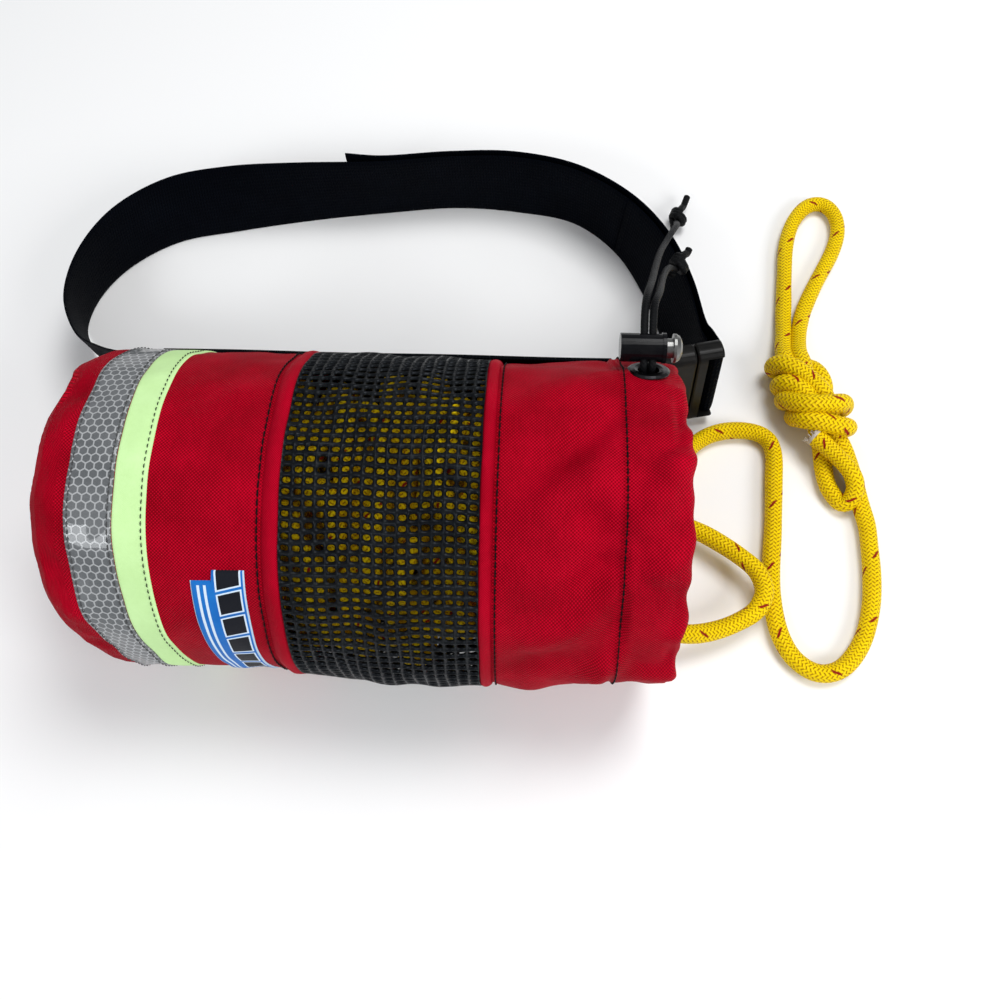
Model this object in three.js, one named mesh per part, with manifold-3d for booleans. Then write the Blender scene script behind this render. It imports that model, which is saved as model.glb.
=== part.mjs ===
// Throw rope bag with a waist belt: a soft cylindrical bag lying on its side,
// packed with floating rope, with a belt through a sleeve on its back.
// Millimetres, +Z up. The bag's axis runs along X: the base is at -X and the
// mouth is at +X. The belt's loop stands on its edge behind the bag, at +Y.
// The origin is on the surface the bag lies on, under the middle of the bag.

import * as THREE from 'three';
import { mergeVertices } from 'three/addons/utils/BufferGeometryUtils.js';
import Module from 'manifold-3d';

const wasm = await Module();
wasm.setup();

// ---------------------------------------------------------------- dimensions

const GAP = 0.3;                 // between solids that touch on the real bag
const TAU = Math.PI * 2;
const DEG = Math.PI / 180;

// The bag's section: an ellipse with a settled, flat underside.
const BAG_HALF_WIDTH = 76;       // along Y, at the fabric's outer face
const BAG_HALF_HEIGHT = 73;      // along Z, above the axis
const BAG_FLAT_DEPTH = 65.7;     // from the axis down to the flat underside
const MESH_RADIUS = 77.3;        // the mesh stands proudest and meets the floor
const AXIS_Z = BAG_FLAT_DEPTH * MESH_RADIUS / BAG_HALF_WIDTH;
const FABRIC = 1.2;              // modelled thickness of coated fabric
const SHELL_SIDES = 40;

// Stations along the bag, from the base to the mouth.
const BASE_X = -136;
const SILVER_X = [-123, -103];
const LIME_X = [-103 + GAP, -89];
const LOWER_END_X = -40.5;
const MESH_X = [-33, 48];
const UPPER_X = [53, 107];
const MOUTH_X = 135;

const FOAM_THICKNESS = 12;

// Rope and drawcord.
const ROPE_DIAMETER = 9.5;
const ROPE_Z = ROPE_DIAMETER / 2 + 0.2;   // a strand lying on the surface
const CORD_DIAMETER = 3.4;
const PACK_X = [-110, 88];       // the packed rope, between the foam and the mouth
const PACK_RADIUS = 71;

// Grommet in the hem, and the cord lock on the drawcord's two tails.
const GROMMET_X = 119.6;
const GROMMET_ANGLE = 52 * DEG;  // around the bag, from +Y towards +Z
const GROMMET_RADIUS = 9.5;
const GROMMET_BORE = 4.9;
const HEM_RADIUS = 76.4;
const LOCK_CENTRE = [119, 55.5, 131.1];
const LOCK_PITCH = 20 * DEG;     // the cords rise this much through the lock
const LOCK_RADIUS = 6.3;
const LOCK_LEFT = -12.5;         // the barrel's blind end, from the cord hole
const LOCK_RIGHT = 7.5;
const PLUNGER_TRAVEL = 2.6;
const CORD_SPACING = 1.9;        // each tail, from the middle of the hole

// Belt and buckle.
const BELT_WIDTH = 50;
const BELT_THICKNESS = 1.6;
const BELT_RADIUS = 78.7;        // middle of the webbing inside the sleeve
const SLEEVE_X = [-118, 107];
const SLEEVE_ANGLE = -8 * DEG;
const BUCKLE_ORIGIN = [153.9, 95.5, 32];
const BUCKLE_YAW = 12 * DEG;
const BUCKLE_LEAN = -8 * DEG;
const BUCKLE_HALF_WIDTH = 29;
const BUCKLE_HALF_THICKNESS = 6.5;
const FEMALE_LENGTH = 32;
const MALE_BAR_U = 12.2;         // from the parting line to the belt's bar
const FEMALE_BAR_U = -30;
const BAR_RADIUS = 2.2;
const WRAP_RADIUS = BAR_RADIUS + GAP + BELT_THICKNESS / 2;

// ------------------------------------------------------------------- colours

const RED = { color: 0xc00a28, roughness: 0.75, metalness: 0 };
const RED_TRIM = { color: 0xc8143c, roughness: 0.7, metalness: 0 };
const MESH_BLACK = { color: 0x16181a, roughness: 0.4, metalness: 0 };
const WEB_BLACK = { color: 0x0b0d12, roughness: 0.8, metalness: 0 };
const PLASTIC_BLACK = { color: 0x1a1b1d, roughness: 0.35, metalness: 0 };
const PLUNGER_GREY = { color: 0x6b6d70, roughness: 0.3, metalness: 0 };
const SILVER = { color: 0xa6a8aa, roughness: 0.2, metalness: 0.3 };
const LIME = { color: 0xdcf0a0, roughness: 0.5, metalness: 0 };
const BLUE = { color: 0x1c78d0, roughness: 0.5, metalness: 0 };
const GUNMETAL = { color: 0x4a4c50, roughness: 0.3, metalness: 0.9 };
const STEEL = { color: 0xb0b4b8, roughness: 0.3, metalness: 1 };
const FOAM = { color: 0x3a3d42, roughness: 0.95, metalness: 0 };
const ROPE_YELLOW = { color: 0xf0d014, roughness: 0.6, metalness: 0 };
const CORD_BLACK = { color: 0x15171a, roughness: 0.6, metalness: 0 };

const bag = new THREE.Group();

function addPiece(name, geometry, look, parent = bag) {
  const mesh = new THREE.Mesh(geometry, new THREE.MeshStandardMaterial(look));
  mesh.name = name;
  parent.add(mesh);
  return mesh;
}

// ------------------------------------------------------------ solid building

function bareGeometry(geometry) {
  const bare = geometry.clone();
  bare.deleteAttribute('normal');
  bare.deleteAttribute('uv');
  return mergeVertices(bare, 1e-4);
}

function toManifold(geometry) {
  const bare = bareGeometry(geometry);
  const vertProperties = new Float32Array(bare.attributes.position.array);
  const triVerts = new Uint32Array(bare.index.array);
  return new wasm.Manifold(new wasm.Mesh({ numProp: 3, vertProperties, triVerts }));
}

function fromManifold(solid) {
  const mesh = solid.getMesh();
  const geometry = new THREE.BufferGeometry();
  geometry.setAttribute('position', new THREE.BufferAttribute(mesh.vertProperties, 3));
  geometry.setIndex(new THREE.BufferAttribute(mesh.triVerts, 1));
  return geometry;
}

function cut(base, tools) {
  let solid = toManifold(base);
  for (const tool of tools) solid = solid.subtract(toManifold(tool));
  return fromManifold(solid);
}

function join(pieces) {
  let solid = toManifold(pieces[0]);
  for (const piece of pieces.slice(1)) solid = solid.add(toManifold(piece));
  return fromManifold(solid);
}

// A closed surface through equal rings of points. A looped skin joins its last
// ring to its first; any other skin is closed by a fan at each end.
function skin(rings, looped) {
  const count = rings[0].length;
  const positions = rings.flat(2);
  const faces = [];
  const last = looped ? rings.length : rings.length - 1;
  for (let i = 0; i < last; i += 1) {
    const here = i * count;
    const next = ((i + 1) % rings.length) * count;
    for (let k = 0; k < count; k += 1) {
      const side = (k + 1) % count;
      faces.push(here + k, next + k, next + side);
      faces.push(here + k, next + side, here + side);
    }
  }
  if (!looped) {
    for (const [ring, flip] of [[0, false], [rings.length - 1, true]]) {
      const middle = positions.length / 3;
      const centre = [0, 1, 2].map(
        (axis) => rings[ring].reduce((sum, point) => sum + point[axis], 0) / count);
      positions.push(...centre);
      for (let k = 0; k < count; k += 1) {
        const a = ring * count + k;
        const b = ring * count + ((k + 1) % count);
        faces.push(middle, flip ? b : a, flip ? a : b);
      }
    }
  }
  const geometry = new THREE.BufferGeometry();
  geometry.setAttribute('position', new THREE.Float32BufferAttribute(positions, 3));
  geometry.setIndex(faces);
  return facesOut(geometry);
}

function facesOut(geometry) {
  const p = geometry.attributes.position;
  const index = geometry.index.array;
  const [a, b, c] = [new THREE.Vector3(), new THREE.Vector3(), new THREE.Vector3()];
  let volume = 0;
  for (let i = 0; i < index.length; i += 3) {
    a.fromBufferAttribute(p, index[i]);
    b.fromBufferAttribute(p, index[i + 1]);
    c.fromBufferAttribute(p, index[i + 2]);
    volume += a.dot(b.cross(c));
  }
  if (volume < 0) {
    const turned = [];
    for (let i = 0; i < index.length; i += 3) turned.push(index[i], index[i + 2], index[i + 1]);
    geometry.setIndex(turned);
  }
  return geometry;
}

// A point on the bag's section, at a radius measured on the Y half-axis.
function around(x, radius, angle) {
  const scale = radius / BAG_HALF_WIDTH;
  const height = Math.max(BAG_HALF_HEIGHT * Math.sin(angle), -BAG_FLAT_DEPTH);
  return [x, radius * Math.cos(angle), AXIS_Z + scale * height];
}

// A closed profile of [x, radius] points carried all the way round the bag.
function bagShell(profile, sides = SHELL_SIDES) {
  const rings = [];
  for (let k = 0; k < sides; k += 1) {
    rings.push(profile.map(([x, radius]) => around(x, radius, (k / sides) * TAU)));
  }
  return skin(rings, true);
}

// The same profile carried over a part of the way round.
function bagStrip(profile, from, to, sides) {
  const rings = [];
  for (let k = 0; k <= sides; k += 1) {
    const angle = from + (to - from) * (k / sides);
    rings.push(profile.map(([x, radius]) => around(x, radius, angle)));
  }
  return skin(rings, false);
}

// A closed solid that fills the bag's section, with its radius set at each x.
function bagFill(stations, sides = SHELL_SIDES) {
  const rings = stations.map(([x, radius]) => {
    const ring = [];
    for (let k = 0; k < sides; k += 1) ring.push(around(x, radius, (k / sides) * TAU));
    return ring;
  });
  return skin(rings, false);
}

function box(x0, x1, y0, y1, z0, z1) {
  const geometry = new THREE.BoxGeometry(x1 - x0, y1 - y0, z1 - z0);
  return geometry.translate((x0 + x1) / 2, (y0 + y1) / 2, (z0 + z1) / 2);
}

function xCylinder(x0, x1, radius, sides = 28) {
  const geometry = new THREE.CylinderGeometry(radius, radius, x1 - x0, sides);
  return geometry.rotateZ(-Math.PI / 2).translate((x0 + x1) / 2, 0, 0);
}

// A round cord or rope along a smooth curve through the given points.
function cordTube(points, diameter, steps, sides) {
  const vectors = points.map((point) => new THREE.Vector3(...point));
  const path = new THREE.CatmullRomCurve3(vectors, false, 'centripetal');
  const section = new THREE.Shape();
  for (let k = 0; k < sides; k += 1) {
    const angle = (k / sides) * TAU;
    const [x, y] = [Math.cos(angle) * diameter / 2, Math.sin(angle) * diameter / 2];
    if (k === 0) section.moveTo(x, y);
    else section.lineTo(x, y);
  }
  section.closePath();
  return new THREE.ExtrudeGeometry(section, { steps, extrudePath: path, bevelEnabled: false });
}

// Webbing whose two edges follow two curves. Each station gives a point on the
// lower edge, a point on the upper edge, and how far the middle bows outward.
function webbing(stations, perSpan, thickness = BELT_THICKNESS) {
  const curve = (pick) => new THREE.CatmullRomCurve3(
    stations.map((station) => new THREE.Vector3(...pick(station))), false, 'centripetal');
  const lower = curve((station) => station[0]);
  const upper = curve((station) => station[1]);
  const across = 4;
  const span = stations.length - 1;
  const samples = span * perSpan;
  const rings = [];
  for (let i = 0; i <= samples; i += 1) {
    const t = i / samples;
    const at = Math.min(Math.floor(t * span), span - 1);
    const local = t * span - at;
    const bow = stations[at][2] * (1 - local) + stations[at + 1][2] * local;
    const [a, b] = [lower.getPoint(t), upper.getPoint(t)];
    const along = lower.getTangent(t).add(upper.getTangent(t));
    const normal = new THREE.Vector3().crossVectors(b.clone().sub(a), along).normalize();
    const ring = [];
    for (const side of [1, -1]) {
      for (let k = 0; k <= across; k += 1) {
        const s = side > 0 ? k / across : 1 - k / across;
        const lift = bow * (1 - (2 * s - 1) ** 2) + side * thickness / 2;
        const point = a.clone().lerp(b, s).addScaledVector(normal, lift);
        ring.push(point.toArray());
      }
    }
    rings.push(ring);
  }
  return skin(rings, false);
}

// ------------------------------------------------------------- the bag's shell

const R = BAG_HALF_WIDTH;

function buildBase() {
  const outer = [
    [BASE_X, 0.5], [BASE_X, 62], [BASE_X + 1.2, 68.5], [BASE_X + 4, 72.6], [BASE_X + 8, 74.2]];
  const inner = [
    [BASE_X + 8, 73.2], [BASE_X + 4.6, 71.4], [BASE_X + 2.2, 67.6], [BASE_X + FABRIC, 61.4],
    [BASE_X + FABRIC, 0.5]];
  const rings = [...outer, ...inner].map(([x, radius]) => {
    const ring = [];
    for (let k = 0; k < SHELL_SIDES; k += 1) ring.push(around(x, radius, (k / SHELL_SIDES) * TAU));
    return ring;
  });
  addPiece('base_panel', skin(rings, false), RED);

  const foamX = BASE_X + FABRIC + 2 * GAP;
  const foam = bagFill([
    [foamX, 60], [foamX + 3, 66], [foamX + 7, 71], [foamX + FOAM_THICKNESS, 71.5]]);
  addPiece('base_foam_disc', foam, FOAM);

  const loopX = foamX + FOAM_THICKNESS + GAP;
  const anchor = new THREE.Shape();
  anchor.moveTo(-12, 0);
  anchor.lineTo(12, 0);
  anchor.lineTo(12, 1.6);
  anchor.lineTo(7, 1.6);
  anchor.absarc(0, 4.6, 5.6, -0.35, Math.PI + 0.35, false);
  anchor.lineTo(-12, 1.6);
  anchor.closePath();
  const hole = new THREE.Path();
  hole.absarc(0, 4.9, 3, 0, TAU, true);
  anchor.holes.push(hole);
  const geometry = new THREE.ExtrudeGeometry(
    anchor, { depth: 20, bevelEnabled: false, curveSegments: 8 });
  geometry.translate(0, 0, -10).rotateZ(-Math.PI / 2).translate(loopX, 0, AXIS_Z);
  addPiece('rope_anchor_loop', geometry, WEB_BLACK);
}

function shellProfile(x0, x1, outer, inner) {
  return [[x0, inner], [x0, outer], [x1, outer], [x1, inner]];
}

function buildPanels() {
  const lower = [
    [BASE_X + 3.4, 73.4], [BASE_X + 3.4, 74.6], [BASE_X + 8.6, 75.8], [BASE_X + 12, R],
    [LOWER_END_X, R], [LOWER_END_X, R - FABRIC], [BASE_X + 12, R - FABRIC], [BASE_X + 8.6, 74.6]];
  addPiece('lower_panel', bagShell(lower), RED);
  const tapes = [['reflective_tape_silver', SILVER_X, SILVER], ['reflective_tape_lime', LIME_X, LIME]];
  for (const [name, [x0, x1], look] of tapes) {
    addPiece(name, bagShell(shellProfile(x0, x1, R + GAP + 0.7, R + GAP)), look);
  }
  const label = bagStrip(shellProfile(-67, -36 - 5, R + GAP + 0.6, R + GAP), 124 * DEG, 196 * DEG, 18);
  addPiece('label_patch', label, BLUE);
  const bindings = [
    ['mesh_binding_lower', LOWER_END_X + GAP, MESH_X[0]],
    ['mesh_binding_upper', MESH_X[1], UPPER_X[0]]];
  for (const [name, x0, x1] of bindings) {
    addPiece(name, bagShell(shellProfile(x0, x1, MESH_RADIUS, R - FABRIC)), RED_TRIM);
  }
  const mesh = shellProfile(MESH_X[0] + GAP, MESH_X[1] - GAP, MESH_RADIUS, MESH_RADIUS - 1.5);
  addPiece('mesh_panel', bagShell(mesh), MESH_BLACK);
  addPiece('upper_panel', bagShell(shellProfile(UPPER_X[0] + GAP, UPPER_X[1], R, R - FABRIC)), RED);
}

// The grommet's own axes: out of the hem, and round it towards the bag's top.
const grommetBase = new THREE.Vector3(...around(GROMMET_X, HEM_RADIUS, GROMMET_ANGLE));
const grommetOut = new THREE.Vector3(
  0, Math.cos(GROMMET_ANGLE) / BAG_HALF_WIDTH, Math.sin(GROMMET_ANGLE) / BAG_HALF_HEIGHT).normalize();
const grommetRound = new THREE.Vector3(0, -grommetOut.z, grommetOut.y);

// A lathed solid stood on the hem, with its axis out of the fabric.
function onGrommet(profile, sides = 24) {
  const points = profile.map(([radius, height]) => new THREE.Vector2(radius, height));
  const geometry = new THREE.LatheGeometry(points, sides);
  const turn = new THREE.Quaternion().setFromUnitVectors(new THREE.Vector3(0, 1, 0), grommetOut);
  return geometry.applyQuaternion(turn).translate(...grommetBase.toArray());
}

function buildMouth() {
  const x0 = UPPER_X[1] + GAP;
  const outside = [
    [x0, 68], [x0, 76.2], [x0 + 4, HEM_RADIUS], [MOUTH_X - 7, HEM_RADIUS], [MOUTH_X - 2.2, 75],
    [MOUTH_X, 72.6], [MOUTH_X, 70.6], [MOUTH_X - 2.2, 68.4], [MOUTH_X - 7, 68]];
  const channel = [
    [x0 + 2.4, 69.2], [x0 + 2.4, HEM_RADIUS - FABRIC], [MOUTH_X - 7, HEM_RADIUS - FABRIC],
    [MOUTH_X - 3.2, 73.8], [MOUTH_X - 1.8, 71.6], [MOUTH_X - 3.2, 69.6], [MOUTH_X - 7, 69.2]];
  const hole = onGrommet([[0, -3], [5.5, -3], [5.5, 3], [0, 3]]);
  addPiece('mouth_hem', cut(bagShell(outside), [bagShell(channel), hole]), RED);

  const bore = GROMMET_BORE;
  addPiece('grommet', onGrommet([
    [bore, -3.3], [bore + 0.3, -3.3], [bore + 0.3, GAP], [GROMMET_RADIUS, GAP],
    [GROMMET_RADIUS, 0.8], [8.4, 1.5], [6.4, 1.7], [bore, 1.1], [bore, -3.3]]), GUNMETAL);
  addPiece('grommet_washer', onGrommet([
    [5.6, -2.9], [8.6, -2.9], [8.6, -2.4], [5.6, -2.4], [5.6, -2.9]]), GUNMETAL);

  const from = GROMMET_ANGLE + 8.2 * DEG;
  const sweep = TAU - 16.4 * DEG;
  const ring = [];
  const turns = 44;
  for (let k = 0; k <= turns; k += 1) ring.push(around(GROMMET_X, 71.9, from + (sweep * k) / turns));
  addPiece('drawcord_ring', cordTube(ring, CORD_DIAMETER, 44, 8), CORD_BLACK);
}

// ------------------------------------------------------- cord lock and its cords

const lockAlong = new THREE.Vector3(0, Math.cos(LOCK_PITCH), Math.sin(LOCK_PITCH));

// A point given by its offset round the hem, its height out of it and its x.
function byGrommet(x, round, out) {
  const point = grommetBase.clone().addScaledVector(grommetRound, round).addScaledVector(grommetOut, out);
  return [x, point.y, point.z];
}

function byLock(x, along) {
  const centre = new THREE.Vector3(...LOCK_CENTRE).addScaledVector(lockAlong, along);
  return [x, centre.y, centre.z];
}

function buildCordLock() {
  const group = new THREE.Group();
  group.position.set(...LOCK_CENTRE);
  group.rotation.x = LOCK_PITCH;
  bag.add(group);
  const reach = LOCK_RADIUS + 2;
  const cordHole = box(-4.3, 4.3, -reach, reach, -2.4, 2.4);
  const barrelBody = join([
    xCylinder(LOCK_LEFT, LOCK_RIGHT, LOCK_RADIUS), xCylinder(LOCK_RIGHT - 1.6, LOCK_RIGHT, LOCK_RADIUS + 0.5)]);
  const bore = xCylinder(LOCK_LEFT + 1.4, LOCK_RIGHT + 1, 4.6);
  addPiece('cord_lock_barrel', cut(barrelBody, [bore, cordHole]), PLASTIC_BLACK, group);

  const stem = xCylinder(-6, LOCK_RIGHT + 3.4, 4.3);
  const cap = new THREE.LatheGeometry(
    [[0, 0], [6.4, 0], [6.4, 1.2], [5.4, 2.8], [3.2, 3.9], [0, 4.3]].map(
      ([radius, height]) => new THREE.Vector2(radius, height)), 28);
  cap.rotateZ(-Math.PI / 2).translate(LOCK_RIGHT + PLUNGER_TRAVEL + 0.6, 0, 0);
  const slot = box(-3.9, 3.9 + PLUNGER_TRAVEL, -reach, reach, -2.1, 2.1);
  addPiece('cord_lock_plunger', cut(join([stem, cap]), [slot]), PLUNGER_GREY, group);

  const coils = 3;
  const wire = 0.6;
  const springRoom = [LOCK_LEFT + 1.4 + GAP + wire / 2, -6 - GAP - wire / 2];
  const springPoints = [];
  for (let k = 0; k <= coils * 8; k += 1) {
    const angle = (k / 8) * TAU;
    const x = springRoom[0] + (springRoom[1] - springRoom[0]) * (k / (coils * 8));
    springPoints.push([x, 3.4 * Math.cos(angle), 3.4 * Math.sin(angle)]);
  }
  addPiece('cord_lock_spring', cordTube(springPoints, wire, coils * 10, 5), STEEL, group);
}

// A small knot: a lumpy ball a little longer than it is wide.
function knotBall(centre, radii, turn, sides = 14) {
  const geometry = new THREE.SphereGeometry(1, sides, 9);
  const p = geometry.attributes.position;
  for (let i = 0; i < p.count; i += 1) {
    const v = new THREE.Vector3().fromBufferAttribute(p, i);
    const waist = 1 - 0.12 * Math.cos(4 * v.x) * Math.abs(v.x);
    p.setXYZ(i, v.x * radii[0], v.y * radii[1] * waist, v.z * radii[2] * waist);
  }
  return bareGeometry(geometry).rotateZ(turn).translate(...centre);
}

const KNOT_A = [147, 154.5, 55];
const KNOT_B = [156, 228, 6.6];

function buildDrawcordTails() {
  // Each tail comes from its own side of the channel, up through the grommet,
  // through the lock, and over the back of the bag to the belt's upper edge.
  const start = (x, side) => [
    byGrommet(x, 8.2 * side, -5.1), byGrommet(x, 2.6 * side, -5), byGrommet(x, 0.1 * side, -3),
    byGrommet(x, 0, 0), byLock(x, -7), byLock(x, 0), byLock(x, 12), byLock(x, 19)];
  const tailA = [
    ...start(LOCK_CENTRE[0] + CORD_SPACING, -1),
    [121.2, 84, 138], [122, 93, 130.4], [123.6, 101, 118.6], [126, 109, 104], [129.6, 118.5, 89],
    [134, 129, 75.6], [139, 140, 65], [143, 148.4, 58.4]];
  const tailB = [
    ...start(LOCK_CENTRE[0] - CORD_SPACING, 1),
    [117.4, 84.5, 139], [118, 94, 132.4], [119.4, 102.4, 121], [121.4, 111.4, 106.5],
    [124.6, 121, 92], [129, 133, 78], [134, 147, 66], [139, 158.6, 58.4], [142.8, 167.5, 54.6],
    [146, 175, 53], [149, 183, 49.6], [151.4, 191.6, 40], [153.2, 203, 25.6], [154.6, 217, 11]];
  addPiece('drawcord_tail_a', cordTube(tailA, CORD_DIAMETER, 26, 8), CORD_BLACK);
  addPiece('drawcord_tail_b', cordTube(tailB, CORD_DIAMETER, 38, 8), CORD_BLACK);
  addPiece('drawcord_knot_a', knotBall(KNOT_A, [6.6, 5.2, 5.2], 60 * DEG), CORD_BLACK);
  addPiece('drawcord_knot_b', knotBall(KNOT_B, [9.2, 6.2, 6.2], 68 * DEG), CORD_BLACK);
}

// ------------------------------------------------------------ belt and its sleeve

function buildSleeve() {
  const section = (radius, degrees) => around(0, radius, SLEEVE_ANGLE + degrees * DEG);
  const roofOut = 80.9;
  const roofIn = 79.9;
  const foot = MESH_RADIUS + GAP;
  const outline = [];
  const steps = 8;
  outline.push(section(foot, -24.5), section(foot + 1, -24.5), section(foot + 1.1, -20.6));
  for (let k = 0; k <= steps; k += 1) outline.push(section(roofOut, -19.8 + (39.6 * k) / steps));
  outline.push(section(foot + 1.1, 20.6), section(foot + 1, 24.5), section(foot, 24.5), section(foot, 19));
  for (let k = steps; k >= 0; k -= 1) outline.push(section(roofIn, -18.9 + (37.8 * k) / steps));
  outline.push(section(foot, -19));
  const shape = new THREE.Shape(outline.map(([, y, z]) => new THREE.Vector2(y, z)));
  const geometry = new THREE.ExtrudeGeometry(shape, { depth: SLEEVE_X[1] - SLEEVE_X[0], bevelEnabled: false });
  // The shape's x, y and depth become the bag's Y, Z and X.
  geometry.applyMatrix4(new THREE.Matrix4().makeBasis(
    new THREE.Vector3(0, 1, 0), new THREE.Vector3(0, 0, 1), new THREE.Vector3(1, 0, 0)));
  geometry.translate(SLEEVE_X[0], 0, 0);
  addPiece('belt_sleeve', geometry, WEB_BLACK);
}

// Buckle axes: u along its pull, v out of its face, w across its width.
const buckleFrame = new THREE.Matrix4().makeRotationZ(BUCKLE_YAW)
  .multiply(new THREE.Matrix4().makeRotationX(BUCKLE_LEAN)).setPosition(...BUCKLE_ORIGIN);

function byBuckle(u, v, w) {
  return new THREE.Vector3(u, v, w).applyMatrix4(buckleFrame).toArray();
}

function buckleEdges(u, v, bow = 0) {
  return [byBuckle(u, v, -BELT_WIDTH / 2), byBuckle(u, v, BELT_WIDTH / 2), bow];
}

// Stations round a bar, from one side of it to the other.
function roundBar(barU, fromAngle, toAngle, steps) {
  const stations = [];
  for (let k = 0; k <= steps; k += 1) {
    const angle = fromAngle + (toAngle - fromAngle) * (k / steps);
    stations.push(buckleEdges(barU + WRAP_RADIUS * Math.cos(angle), WRAP_RADIUS * Math.sin(angle)));
  }
  return stations;
}

// Stations of the main webbing behind the bag, from the buckle to the sleeve's
// far end: a point on the lower edge, a point on the upper edge, and the bow.
const BELT_LOOP = [
  [[152, 124, 1], [156.5, 131, 50.2], 0],
  [[143, 148, 0.3], [152, 153, 49.4], 0],
  [[133.5, 176, 0.3], [141, 180, 49.4], 0],
  [[117, 206, 0.3], [121, 206, 49.8], 0],
  [[91, 228, 0.3], [90, 227, 50], 0],
  [[55, 236, 0.3], [53, 236, 50], 0],
  [[16, 238.5, 0.3], [15, 235.5, 50], 0],
  [[-25, 234, 0.3], [-26, 231, 50], 0],
  [[-75, 226.5, 0.3], [-76, 229, 50], 0],
  [[-122, 217, 0.3], [-118, 226, 49.2], 0],
  [[-160, 207, 0.3], [-153, 217, 48.6], 0],
  [[-188, 186, 0.3], [-181, 194, 48.8], 0],
  [[-202, 162, 0.3], [-195, 163, 49.4], 0],
  [[-204.5, 140, 0.3], [-196.5, 133, 49], 0],
  [[-193, 122, 4], [-184, 108, 51.2], 0],
  [[-171, 107, 13], [-165, 93.5, 60.6], 1],
  [[-148, 90, 22], [-145, 84, 70.5], 2.4],
  [[-131, 77, 29.5], [-130, 79, 77.6], 3.6]];

function sleeveStation(x, bow = 4) {
  const half = (BELT_WIDTH / 2 / BELT_RADIUS);
  return [around(x, BELT_RADIUS, SLEEVE_ANGLE - half), around(x, BELT_RADIUS, SLEEVE_ANGLE + half), bow];
}

function buildBelt() {
  buildSleeve();
  // The strap holds the fixed half by a turn round its bar, and runs down to it
  // from the sleeve.
  const strap = [
    ...[SLEEVE_X[1], SLEEVE_X[1] + 1.5].map((x) => sleeveStation(x)),
    [[110.5, 73.2, 26.5], [110.6, 79.6, 74.6], 2.4],
    [[113.5, 77.6, 15.5], [113.6, 83.2, 64.6], 0.8],
    buckleEdges(FEMALE_BAR_U - 7.2, -WRAP_RADIUS + 0.3),
    ...roundBar(FEMALE_BAR_U, -Math.PI / 2, Math.PI / 2, 8),
    buckleEdges(FEMALE_BAR_U - 5, WRAP_RADIUS + 0.2)];
  const inSleeve = [-118, -114, -60, 0, 60, 100].map((x) => sleeveStation(x));
  const main = [...BELT_LOOP, ...inSleeve, ...strap];
  addPiece('belt_webbing', webbing(main, 2), WEB_BLACK);

  // The free end turns back outside the main webbing.
  const tail = [
    [[163, 119, 1.6], [166, 124.5, 51.2], 0],
    [[148.5, 147.5, 0.6], [157.2, 152.5, 50], 0],
    [[137, 177.5, 0.4], [144.4, 181.5, 49.8], 0],
    [[119.8, 209, 0.4], [123.6, 209, 50.2], 0],
    [[92.4, 231.6, 0.4], [91.3, 230.6, 50.4], 0],
    [[55.4, 239.8, 0.4], [53.3, 239.8, 50.4], 0],
    [[15.8, 242.2, 0.4], [14.8, 239.2, 50.4], 0],
    [[-25.6, 237.8, 0.4], [-26.6, 235, 50.4], 0],
    [[-47, 236.2, 0.4], [-47.8, 236.4, 50.4], 0]];
  addPiece('belt_tail', webbing(tail, 3), WEB_BLACK);
}

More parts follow.
